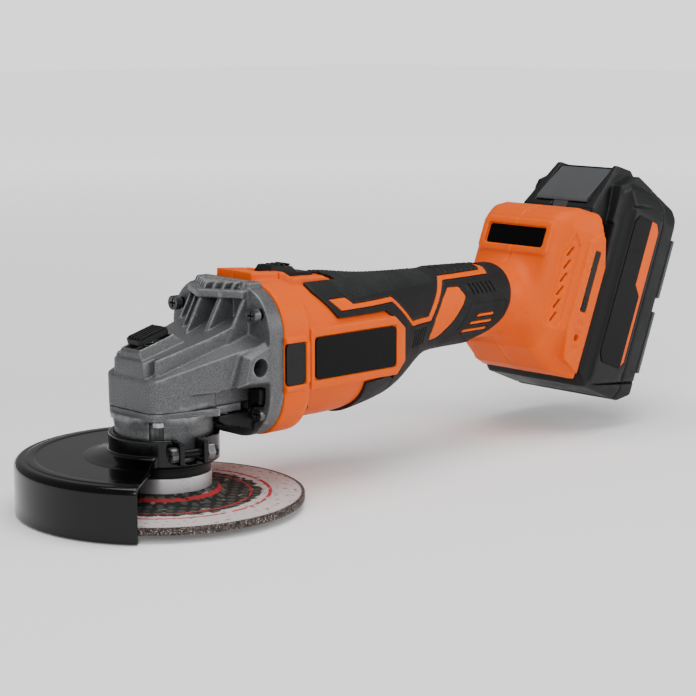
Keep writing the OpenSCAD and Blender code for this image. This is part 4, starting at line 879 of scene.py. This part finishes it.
@dataclass
class MotorBody:
    """The two moulded halves from the collar to the battery's foot, and the rubber moulded over them."""

    step: float = 0.5
    stations: tuple[tuple[float, float, float, float], ...] = (
        (41, 33, 28.4, 94.6), (92, 33, 28.2, 94.4), (100, 32.6, 29, 93.5), (108, 31.8, 30.4, 92.2),
        (118, 29.6, 31.8, 91), (127, 26.6, 34, 90.2), (134, 23.6, 37.4, 89.8), (141, 20.9, 41.6, 89.5),
        (148, 19, 46.8, 89.3), (155, 18.8, 50.4, 89.2), (169, 18.8, 51, 89.2), (203, 18.8, 51.2, 88),
        (262, 19, 51, 87))
    """X, half width, lowest and highest point along the barrel and the handle."""
    grip_step: float = 0.42
    seam: float = 0.08
    """Half the gap between the two halves."""
    rubber: float = 1.5
    collar: Point2 = (41.15, 56.2)
    collar_half: float = 35.0
    plate_face: float = 34.0
    tilt: Tilt = Tilt()
    grip: tuple[Point2, ...] = (
        (71.5, 104), (71.5, 89), (75.5, 83), (78.5, 77.5), (111, 77.5), (119.5, 70.5), (120.5, 56),
        (117, 49.5), (121, 24), (186, 24), (188, 53), (197, 57.5), (203, 63.5), (207, 71), (209.5, 78),
        (211.5, 86), (212.5, 104))
    chin: tuple[Point2, ...] = ((95.8, 45.5), (113, 46.5), (118, 44), (118, 20), (97.5, 20), (97.5, 38))
    line: tuple[Point2, ...] = (
        (77.5, 85.6), (88, 85.6), (91, 82.6), (120.4, 82.6), (131.5, 70), (147, 70), (160, 84.4),
        (163.5, 87.4), (196, 87.4), (198.5, 90), (201, 88.6), (198, 85.4), (164.5, 85.4), (161.8, 83.2),
        (148.6, 67.6), (131, 67.6), (119.4, 80.4), (82, 80.4))
    leaf: tuple[Point2, ...] = ((165, 82), (172.5, 81.8), (175.4, 77), (173, 73.6), (165, 65), (158, 59.4),
                                (155.5, 58), (150.4, 57.6), (149.6, 60), (153, 69), (159, 77.2))
    strips: tuple[Point3, ...] = ((184, 195, 66.7), (179.6, 194.4, 63.1), (175.6, 192.2, 59.3))
    """Front, rear and height of the slanted orange strips on the grip."""
    crease: tuple[Point2, ...] = ((170, 60), (178, 73.4), (203.4, 72.6), (202.6, 64.4), (196, 57), (186, 52))
    """Outline of the panel that is creased into the rubber round the strips."""
    foot_side: tuple[Point2, ...] = (
        (-37.5, -27), (-30, -39), (-14, -46), (-0.15, -46), (-0.15, 36), (-6, 41), (-24, 39.5), (-34, 34),
        (-37.5, 29))
    foot_rim: tuple[Point2, ...] = ((-18.5, -24), (-15, -38), (-2, -43), (-2, 27), (-12, 30), (-18.5, 24))
    vent_panel: tuple[Point2, ...] = ((-31.5, -24), (-26.5, -30), (-22.5, -19), (-22.5, 20), (-27.5, 25),
                                      (-31.5, 14))
    """Outlines of the foot's side, of the rim beside the rails and of the sunk vents, in a and b."""
    window_b: float = 18.5
    """Height of the middle of the window along the foot."""
    strip_b: float = 4.5
    """Height of the middle of the ribbed strip along the foot."""
    rib_pitch: float = 2.6
    ridge_pitch: float = 4.0
    """Distance between the fine ribs on top of the grip, and between the ridges behind them."""
    vents: int = 6
    """How many slots each group of vents has."""

    def barrel(self, s: Space) -> np.ndarray:
        """Models the barrel, its shoulder and the core of the handle."""
        xs = s.x[:, 0, 0]
        at, *columns = zip(*self.stations)
        half, low, high = (np.interp(xs, at, c).astype(np.float32) for c in columns)
        half, low, high = (self.smooth(v)[:, None, None] for v in (half, low, high))
        tall = (high - low) / 2
        ring = np.hypot(s.y / half, (s.z - (low + high) / 2) / tall) - 1
        return ring * np.minimum(half, tall)

    def smooth(self, values: np.ndarray) -> np.ndarray:
        """Rounds the corners of a curve that is sampled along X."""
        wide = round(9 / self.step)
        padded = np.pad(values, wide, mode="edge")
        return np.convolve(padded, np.ones(2 * wide + 1) / (2 * wide + 1), "valid").astype(np.float32)

    def foot(self, s: Space) -> np.ndarray:
        """Models the foot that the battery slides on."""
        a, b = self.tilt.parts(s.x, s.z)
        side = np.abs(s.y)
        profile = outline(a, b, self.foot_side)
        half = np.interp(a[:, 0, :], (-37.5, -30, -14, 0), (24, 30.5, 34, 34)).astype(np.float32)[:, None, :]
        flare = np.maximum(np.abs(b - 2) - 26, 0) * 0.35 * np.clip(-a / 16, 0.1, 1)
        foot = keep(profile, side - half + flare, 4.0)
        window_frame = rounded([slab(b, self.window_b - 9.2, self.window_b + 9.2), side - 23.6], 3.0)
        foot = join(foot, all_of([window_frame, slab(a, -38.9, -30)], 0.8), 1.2)
        window = rounded([slab(b, self.window_b - 5.6, self.window_b + 5.6), side - 19.9], 1.5)
        foot = cut(foot, all_of([window, a + 37.1]), 0.4)
        rim = all_of([outline(a, b, self.foot_rim), side - 34.5], 0.6)
        foot = join(foot, rim, 0.8)
        strip = rounded([slab(a, -12.8, -8.2), slab(b, self.strip_b - 16.5, self.strip_b + 16.5)], 1.0)
        foot = cut(foot, keep(strip, 33.6 - side), 0.3)
        for low in (-16.5, -21.5, -29.5):
            dent = rounded([slab(a, -13, -7), slab(b, low - 1.6, low)], 0.6)
            foot = cut(foot, keep(dent, 33.9 - side), 0.3)
        foot = cut(foot, keep(np.hypot(a + 10, b + 25.6) - 1.9, 31 - side), 0.3)
        panel = outline(a, b, self.vent_panel)
        foot = cut(foot, keep(panel, half - 1.1 - side + flare), 0.4)
        for i in range(self.vents):
            middle = -19.5 + i * 7.0
            across, along = a + 27 - 0.45 * (b - middle), b - middle
            slot = rounded([slab(across, -0.7, 0.7), slab(along, -2.9, 2.9)], 0.5)
            foot = cut(foot, keep(slot, half - 5.5 - side), 0.3)
        room = all_of([slab(a, -14.6, 2), side - 22.7, -29.2 - b])
        return cut(foot, room, 0.3)

    def pads(self, s: Space) -> np.ndarray:
        """Models the raised frames of the name plates and badges, and the boss of the switch."""
        side = np.abs(s.y)
        plate = all_of([outline(s.x, s.z, [(57, 75.4), (111.5, 75.4), (118, 69.5), (118, 53.5), (112.5, 47.6),
                                           (57, 47.6)]), side - self.plate_face], 0.8)
        badge = all_of([outline(s.x, s.z, [(36.2, 70), (39.4, 73.4), (52.4, 73.4), (55.4, 70), (55.4, 52.2),
                                           (52.4, 48.8), (39.4, 48.8), (36.2, 52.2)]), side - 36.3], 0.7)
        badge = keep(badge, np.maximum(41.3 - s.x, 34.9 - side), 0.0)
        boss = all_of([outline(s.x, s.z, [(41.2, 80), (41.2, 100.4), (60.6, 98.9), (66.6, 95.6), (85, 95.0),
                                          (92, 91), (92, 80)]), side - 12.5], 1.0)
        return any_of([plate, badge, boss])

    def shell(self, s: Space) -> np.ndarray:
        """Puts the moulded body together."""
        side = np.abs(s.y)
        tube = self.barrel(s)
        shell = keep(tube, slab(s.x, 50, 250), 1.0)
        square = rounded([slab(s.z, AXIS_Z - self.collar_half, AXIS_Z + self.collar_half),
                          side - self.collar_half], 22)
        ring = keep(square, slab(s.x, *self.collar), 1.2)
        shell = join(shell, ring, 1.6)
        shell = join(shell, self.foot(s), 8.0)
        shell = join(shell, self.pads(s), 1.0)
        raised = tube - self.rubber + 0.1
        shell = join(shell, keep(self.marks(s), raised, 0.4))
        shell = cut(shell, all_of([slab(s.x, 60.2, 111.9), slab(s.z, 51.7, 71.3), 33.2 - side]), 0.3)
        shell = cut(shell, all_of([slab(s.x, 41.3, 53.1), slab(s.z, 51.4, 70.6), 34.2 - side]), 0.3)
        shell = cut(shell, all_of([slab(s.x, 50.4, 87.0), side - 5.7, 91.0 - s.z]), 0.4)
        split = all_of([slab(s.x, 57.2, 58.0), 31.8 - np.hypot(s.y, s.z - AXIS_Z)])
        shell = cut(shell, split, 0.3)
        return cut(shell, s.rod_x(0, AXIS_Z, 27.5, (38, 44)))

    def marks(self, s: Space) -> np.ndarray:
        """Returns the side outline of every orange shape that shows through the rubber."""
        strips = [[(x0, z + 0.7), (x1, z + 0.7), (x1 - 0.8, z - 0.8), (x0 - 1.6, z - 0.8)]
                  for x0, x1, z in self.strips]
        return any_of([outline(s.x, s.z, shape) for shape in (self.line, self.leaf, *strips)])

    def fade(self, past: np.ndarray, width: float) -> np.ndarray:
        """Returns how far a pattern has faded in, from 0 to 1 over a width."""
        return np.clip(past / width, 0, 1)

    def over_mould(self, s: Space) -> np.ndarray:
        """Models the rubber on the barrel and the handle, with its ribs and slots."""
        tube = self.barrel(s)
        rise = np.full((1, 1, 1), self.rubber, np.float32)
        fine = np.sin((s.x + 0.55 * s.y) * (2 * math.pi / self.rib_pitch))
        zone = self.fade(s.z - 84.5, 1.2) * self.fade(s.x - 86, 2) * self.fade(158 - s.x, 2)
        rise = rise + np.maximum(fine, -0.5) * zone * 0.5 - zone * 0.2
        coarse = np.cos((s.x + 0.012 * s.y ** 2) * (2 * math.pi / self.ridge_pitch))
        back = self.fade(s.z - 88.0, 0.8) * self.fade(s.x - 165, 1) * self.fade(201 - s.x, 1)
        rise = rise + np.maximum(coarse, -0.4) * back * 0.8 - back * 0.2
        skin = tube - rise
        covered = any_of([outline(s.x, s.z, self.grip), outline(s.x, s.z, self.chin)])
        rubber = cut(covered, self.marks(s) - 0.15)
        rubber = keep(rubber, skin, 0.8)
        for i in range(self.vents):
            lean = s.x - 181 - i * 3.1 + (s.z - 79.8) * 0.3
            upper = all_of([slab(lean, -0.75, 0.75), slab(s.z, 77.2, 82.4), 0.4 - tube], 0.3)
            rubber = cut(rubber, upper, 0.3)
            lean = s.x - 131.6 - i * 2.3 - (s.z - 61) * 0.25
            lower = all_of([slab(lean, -0.55, 0.55), slab(s.z, 57.2, 65.4), 0.5 - tube], 0.2)
            rubber = cut(rubber, lower, 0.2)
        crease = np.abs(outline(s.x, s.z, self.crease)) - 0.3
        rubber = cut(rubber, keep(crease, 1.05 - tube), 0.15)
        switch = all_of([outline(s.x, s.z, [(40, 80), (40, 101), (66.6, 97), (90, 96), (93, 91), (93, 80)]),
                         np.abs(s.y) - 13.0])
        rubber = cut(rubber, switch, 0.4)
        plate = all_of([outline(s.x, s.z, [(50, 76), (111.7, 76), (118.6, 69.9), (118.6, 53.2), (112.8, 47.0),
                                           (50, 47.0)]), 18 - np.abs(s.y)])
        rubber = cut(rubber, plate, 0.3)
        return cut(rubber, tube + 0.9)

    def build(self, workshop: Workshop) -> list[bpy.types.Object]:
        """Builds both halves of the body and both grips.

        Args:
            workshop: Where the finishes come from.

        Returns:
            The new pieces.
        """
        s = Space((41, -37, 24), (263.5, -self.seam, 124), self.step)
        left = s.mesh("housing_half_left", keep(self.shell(s), s.y + self.seam, 0.25), adapt=0.03)
        t = Space((70, -35.5, 25), (214, -self.seam, 97), self.grip_step)
        grip = t.mesh("grip_rubber_left", keep(self.over_mould(t), t.y + self.seam, 0.25), adapt=0.03)
        pieces = []
        for piece, slot, name, nodes in ((left, "orange_plastic", "housing_half", "housing"),
                                         (grip, "grip_rubber", "grip_rubber", "grip")):
            twin = mirrored(piece, f"{name}_right")
            for one, way in ((piece, "left"), (twin, "right")):
                workshop.dress(one, slot)
                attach(one, "housing")
                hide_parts(f"{nodes}_{way}")
                pieces.append(one)
        return pieces


# ---------------------------------------------------------------- the battery

@dataclass
class BatteryCase:
    """The battery's two-part case, with its hood over the latch and the rails that slide on the foot."""

    step: float = 0.5
    half: float = 37.0
    split: float = 33.0
    joint: float = 0.18
    """Half the gap between the two parts."""
    side_outline: tuple[Point2, ...] = (
        (7.5, -48), (0.5, -39), (0.5, 56), (9, 66), (29, 68), (42, 61), (48.5, 50.5), (48.5, -38), (37, -48))
    hood: tuple[Point2, ...] = ((-12, 38.4), (-12, 43.4), (2.4, 71.4), (14, 72.6), (24, 66), (24, 38.4))
    label: tuple[Point2, ...] = (
        (8.7, 44.2), (11.8, 48.3), (27.2, 48.3), (30.3, 44.2), (30.3, -28.2), (27.2, -32.3), (11.8, -32.3),
        (8.7, -28.2))
    """Outlines of the case, of the hood over the latch and of the label, in a and b."""
    tilt: Tilt = Tilt()

    def solid(self, s: Space) -> np.ndarray:
        """Models the whole case in its own frame.

        Args:
            s: The space to model in; its X and Z are the battery's a and b.

        Returns:
            Distance to the case.
        """
        a, b, side = s.x, s.z, np.abs(s.y)
        h = self.half
        profile = outline(a, b, self.side_outline)
        plan = outline(a, side, [(0.4, -1), (0.4, h - 7), (8.0, h), (42.5, h), (48.5, h - 6), (48.5, -1)])
        face = outline(side, b, [(-1, -48), (h - 3.4, -48), (h, -42.5), (h, 50), (h - 4, 60), (h - 12, 68),
                                 (-1, 68)])
        case = all_of([profile, plan, face], 1.3)
        front = rounded([slab(b, -40, 34), 31.5 - side, slab(a, -2, 7.2)], 1.0)
        case = cut(case, keep(front, 33.4 - side + a * 0.55), 0.8)
        hood_half = 24.5 - np.maximum(b - 44, 0) * 0.12
        hood = all_of([outline(a, b, self.hood), side - hood_half], 1.2)
        case = join(case, hood, 0.8)
        cheek = all_of([outline(a, b, [(0, 40), (0, 60), (12, 69), (26, 66), (20, 40)]), side - 29.5], 1.0)
        case = join(case, cheek, 1.0)
        latch = all_of([outline(a, b, [(-14, 46), (-14, 80), (4.6, 80), (9, 70), (9, 46)]), side - 17.6], 0.3)
        case = cut(case, latch, 0.4)
        case = cut(case, all_of([slab(a, -20, 9), side - 5.2, slab(b, 29, 47)]))
        case = cut(case, keep(outline(a, b, self.label), self.half - 0.6 - side), 0.25)
        for height in (-42.5, 55.0):
            groove = all_of([slab(b - 0.3 * (a - 20), height - 0.5, height + 0.5), 34.6 - side], 0.2)
            case = cut(case, groove, 0.3)
        for low, high in ((-30, 4), (12, 44)):
            pocket = all_of([43.4 - a, slab(b, low - 0.1, high + 0.1), 32.7 - side])
            case = cut(case, pocket, 0.2)
        rail = join(all_of([slab(a, -13.8, -5), side - 22, slab(b, -28, 42)], 0.5),
                    all_of([slab(a, -13.8, 2), side - 18.5, slab(b, -28, 42)], 0.3))
        for y in (-12, -4, 4, 12):
            rail = cut(rail, all_of([np.abs(s.y - y) - 1, b + 6, a + 8.8]), 0.2)
        return join(case, rail)

    def build(self, workshop: Workshop) -> list[bpy.types.Object]:
        """Builds both parts of the case and hangs them on the battery.

        Args:
            workshop: Where the finishes come from.

        Returns:
            The new pieces.
        """
        s = Space((-14, -37.4, -48.4), (48.8, 37.4, 73), self.step)
        solid = self.solid(s)
        inner = rounded([slab(s.x, 3.0, 46), slab(s.y, -34, 34), slab(s.z, -44, 50)], 4.0)
        solid = cut(solid, inner)
        pieces = []
        top, bottom = s.x - self.split + self.joint, self.split + self.joint - s.x
        for name, part, node in (("battery_case_top", top, "battery_top_case"),
                                 ("battery_case_bottom", bottom, "battery_bottom_case")):
            piece = s.mesh(name, keep(solid, part, 0.7), self.tilt.place, adapt=0.03)
            workshop.dress(piece, "battery_plastic")
            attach(piece, "battery")
            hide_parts(node)
            pieces.append(piece)
        return pieces


# ---------------------------------------------------------------- the wheel guard

@dataclass
class WheelGuard:
    """The pressed and painted guard, with the band that clamps it to the neck."""

    step: float = 0.5
    radius: float = 66.35
    wall: float = 1.6
    top_z: float = 22.0
    low_z: float = -1.9
    shoulder: float = 3.2
    """Radius of the round edge between the top and the wall."""
    facing: float = 132.0
    """Direction of the closed side's middle, in degrees from X."""
    band: Point2 = (22.3, 24.7)
    band_top: float = 33.0
    lugs_at: float = -104.0
    lug_gap: float = 4.5
    lug_t: float = 2.4
    screw_off: float = 28.1

    def solid(self, s: Space) -> np.ndarray:
        """Models the guard."""
        radius = np.hypot(s.x, s.y)
        outer = rounded([radius - self.radius, s.z - self.top_z, -60 - s.z], self.shoulder)
        shell = all_of([outer, -outer - self.wall, self.low_z - s.z], 0.5)
        lip = all_of([slab(radius, self.radius - 3.4, self.radius - 0.3),
                      slab(s.z, self.low_z + 0.2, self.low_z + 1.8)], 0.5)
        step_ring = all_of([slab(radius, 57.5, 61.0), slab(s.z, self.top_z - 1.4, self.top_z + 0.35)], 0.4)
        slope = s.z - self.top_z - 2.6 + (radius - self.band[1]) * 0.25
        cone = all_of([radius - 35, slab(s.z, self.top_z - self.wall, 40), slope])
        hood = any_of([shell, join(lip, step_ring)], 0.6)
        hood = join(hood, cone, 1.0)
        hood = keep(hood, -turned(s.x, s.y, self.facing)[0], 0.5)
        band = all_of([slab(radius, *self.band), slab(s.z, self.top_z - self.wall, self.band_top)], 0.5)
        guard = join(hood, band, 1.2)
        guard = cut(guard, radius - self.band[0])
        out, across = turned(s.x, s.y, self.lugs_at)
        opening = all_of([slab(across, -self.lug_gap, self.lug_gap), self.band[0] - 3 - out,
                          self.top_z - s.z])
        guard = cut(guard, opening, 0.3)
        lugs = all_of([slab(np.abs(across), self.lug_gap, self.lug_gap + self.lug_t), slab(out, 22.9, 32.1),
                       slab(s.z, self.band_top - 10, self.band_top)], 0.5)
        guard = join(guard, lugs, 0.8)
        bore = np.hypot(out - self.screw_off, s.z - self.band_top + 5.5) - 2.2
        return cut(guard, keep(bore, 20 - out))

    def build(self, workshop: Workshop) -> list[bpy.types.Object]:
        """Builds the guard and hangs it on its own body.

        Args:
            workshop: Where its finish comes from.

        Returns:
            The new piece.
        """
        s = Space((-66.5, -49.6, -2), (49.6, 66.5, 33), self.step)
        guard = s.mesh("wheel_guard_pressing", self.solid(s), adapt=0.0)
        workshop.dress(guard, "guard_paint")
        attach(guard, "guard")
        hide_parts("wheel_guard")
        return [guard]


ASSEMBLIES = (GearHead, MotorBody, BatteryCase, WheelGuard)


# ---------------------------------------------------------------- studio

@dataclass(frozen=True)
class Studio:
    """The floor, the lights and the camera."""

    azimuth: float = -43.5
    elevation: float = 9.8
    distance: float = 850.0
    target: Point3 = (0.0, 0.0, 22.0)
    """The point on the spindle that the camera is placed by, in millimetres."""
    target_at: Point2 = (-0.26364, -0.15086)
    """Where that point lies from the picture's middle, as a share of its width."""
    lens: float = 98.75
    sensor: float = 36.0
    lights: tuple[tuple[str, Point3, float, float], ...] = (
        ("top_light", (0.1, -0.1, 1.3), 1.1, 16.5),
        ("key_light", (-0.9, -0.9, 0.8), 0.7, 11),
        ("side_light", (0.9, -0.9, 0.5), 0.6, 5))
    """Name, place and size in metres, and power in watts of each light."""
    room: Point2 = (0.3, 1.6)
    """Strength of the pale room as a light, and as the camera sees it."""
    floor_half: float = 6.0
    lit: Point3 = (0.12, 0, 0.05)
    """The point that the lights face, in metres."""

    def camera(self) -> None:
        """Places the camera and makes it the scene's own."""
        a, e = math.radians(self.azimuth), math.radians(self.elevation)
        back = Vector((math.sin(a) * math.cos(e), -math.cos(a) * math.cos(e), math.sin(e)))
        right = Vector((math.cos(a), math.sin(a), 0))
        up = back.cross(right)
        span = self.distance * self.sensor / self.lens
        shift = right * self.target_at[0] * span + up * self.target_at[1] * span
        data = bpy.data.cameras.new("camera")
        data.lens, data.sensor_width = self.lens, self.sensor
        data.clip_start, data.clip_end = 0.01, 20
        camera = added("camera", data)
        camera.location = (Vector(self.target) + back * self.distance - shift) * MM
        self.aim(camera, -back)
        bpy.context.scene.camera = camera

    def light(self, name: str, place: Point3, size: float, power: float) -> None:
        """Adds a soft square light that faces the tool.

        Args:
            name: Name of the light.
            place: Where it hangs, in metres.
            size: Length of its side in metres.
            power: Its power in watts.
        """
        data = bpy.data.lights.new(name, "AREA")
        data.size, data.energy = size, power
        lamp = added(name, data)
        lamp.location = place
        self.aim(lamp, Vector(self.lit) - Vector(place))

    def aim(self, thing: bpy.types.Object, way: Vector) -> None:
        """Turns a camera or a lamp to face one way."""
        thing.rotation_mode = "QUATERNION"
        thing.rotation_quaternion = way.to_track_quat("-Z", "Y")

    def build(self) -> None:
        """Builds the floor with its painted glow, the pale room and the lights."""
        self.camera()
        world = bpy.data.worlds.new("studio")
        world.use_nodes = True
        tree = world.node_tree
        seen = tree.nodes.new("ShaderNodeLightPath").outputs["Is Camera Ray"]
        power = tree.nodes.new("ShaderNodeMapRange")
        power.inputs["To Min"].default_value, power.inputs["To Max"].default_value = self.room
        tree.links.new(seen, power.inputs["Value"])
        tree.links.new(power.outputs[0], tree.nodes["Background"].inputs["Strength"])
        tree.nodes["Background"].inputs["Color"].default_value = (1, 1, 1, 1)
        bpy.context.scene.world = world
        for name, place, size, power in self.lights:
            self.light(name, place, size, power)
        mesh = bpy.data.meshes.new("floor")
        level = CAD_BOX[0].z - 0.0005
        corners = [(x * self.floor_half, y * self.floor_half, level)
                   for x, y in ((-1, -1), (1, -1), (1, 1), (-1, 1))]
        mesh.from_pydata(corners, [], [(0, 1, 2, 3)])
        floor = added("floor", mesh)
        nodes = Nodes("floor_paint_and_glow")
        tint = nodes.mix(nodes.noise(3), (244, 244, 244), (247, 247, 247))
        nodes.link(tint, nodes.shader.inputs["Base Color"])
        nodes.shader.inputs["Roughness"].default_value = 0.8
        # Painted light: the floor glows, weakly near the tool and strongly far off, brightening it away from
        # the tool.
        nodes.shader.inputs["Emission Color"].default_value = (1, 1, 1, 1)
        away = nodes.vector("LENGTH", nodes.place).outputs["Value"]
        nodes.link(nodes.ramp(away, 0.3, 2.0, (0.12, 1.2)), nodes.shader.inputs["Emission Strength"])
        mesh.materials.append(nodes.material)


def slot_of(node: bpy.types.Object) -> str:
    """Returns the record's material slot of a node of the frame, which its own material is named by."""
    return node.data.materials[0].name.split(".")[0]


def main() -> None:
    """Builds every sub-assembly, then the studio."""
    logging.basicConfig(level=logging.INFO, format="%(message)s")
    workshop = Workshop()
    Studio().build()
    for name, node in frame["nodes"].items():
        workshop.dress(node, slot_of(node), "label" if name == "battery_labels" else None)
        workshop.soften(node)
        log.info("dressed %s", name)
    for maker in ASSEMBLIES:
        assembly = maker()
        for piece in assembly.build(workshop):
            log.info("built %s with %d faces", piece.name, len(piece.data.polygons))


if __name__ == "__main__":
    main()
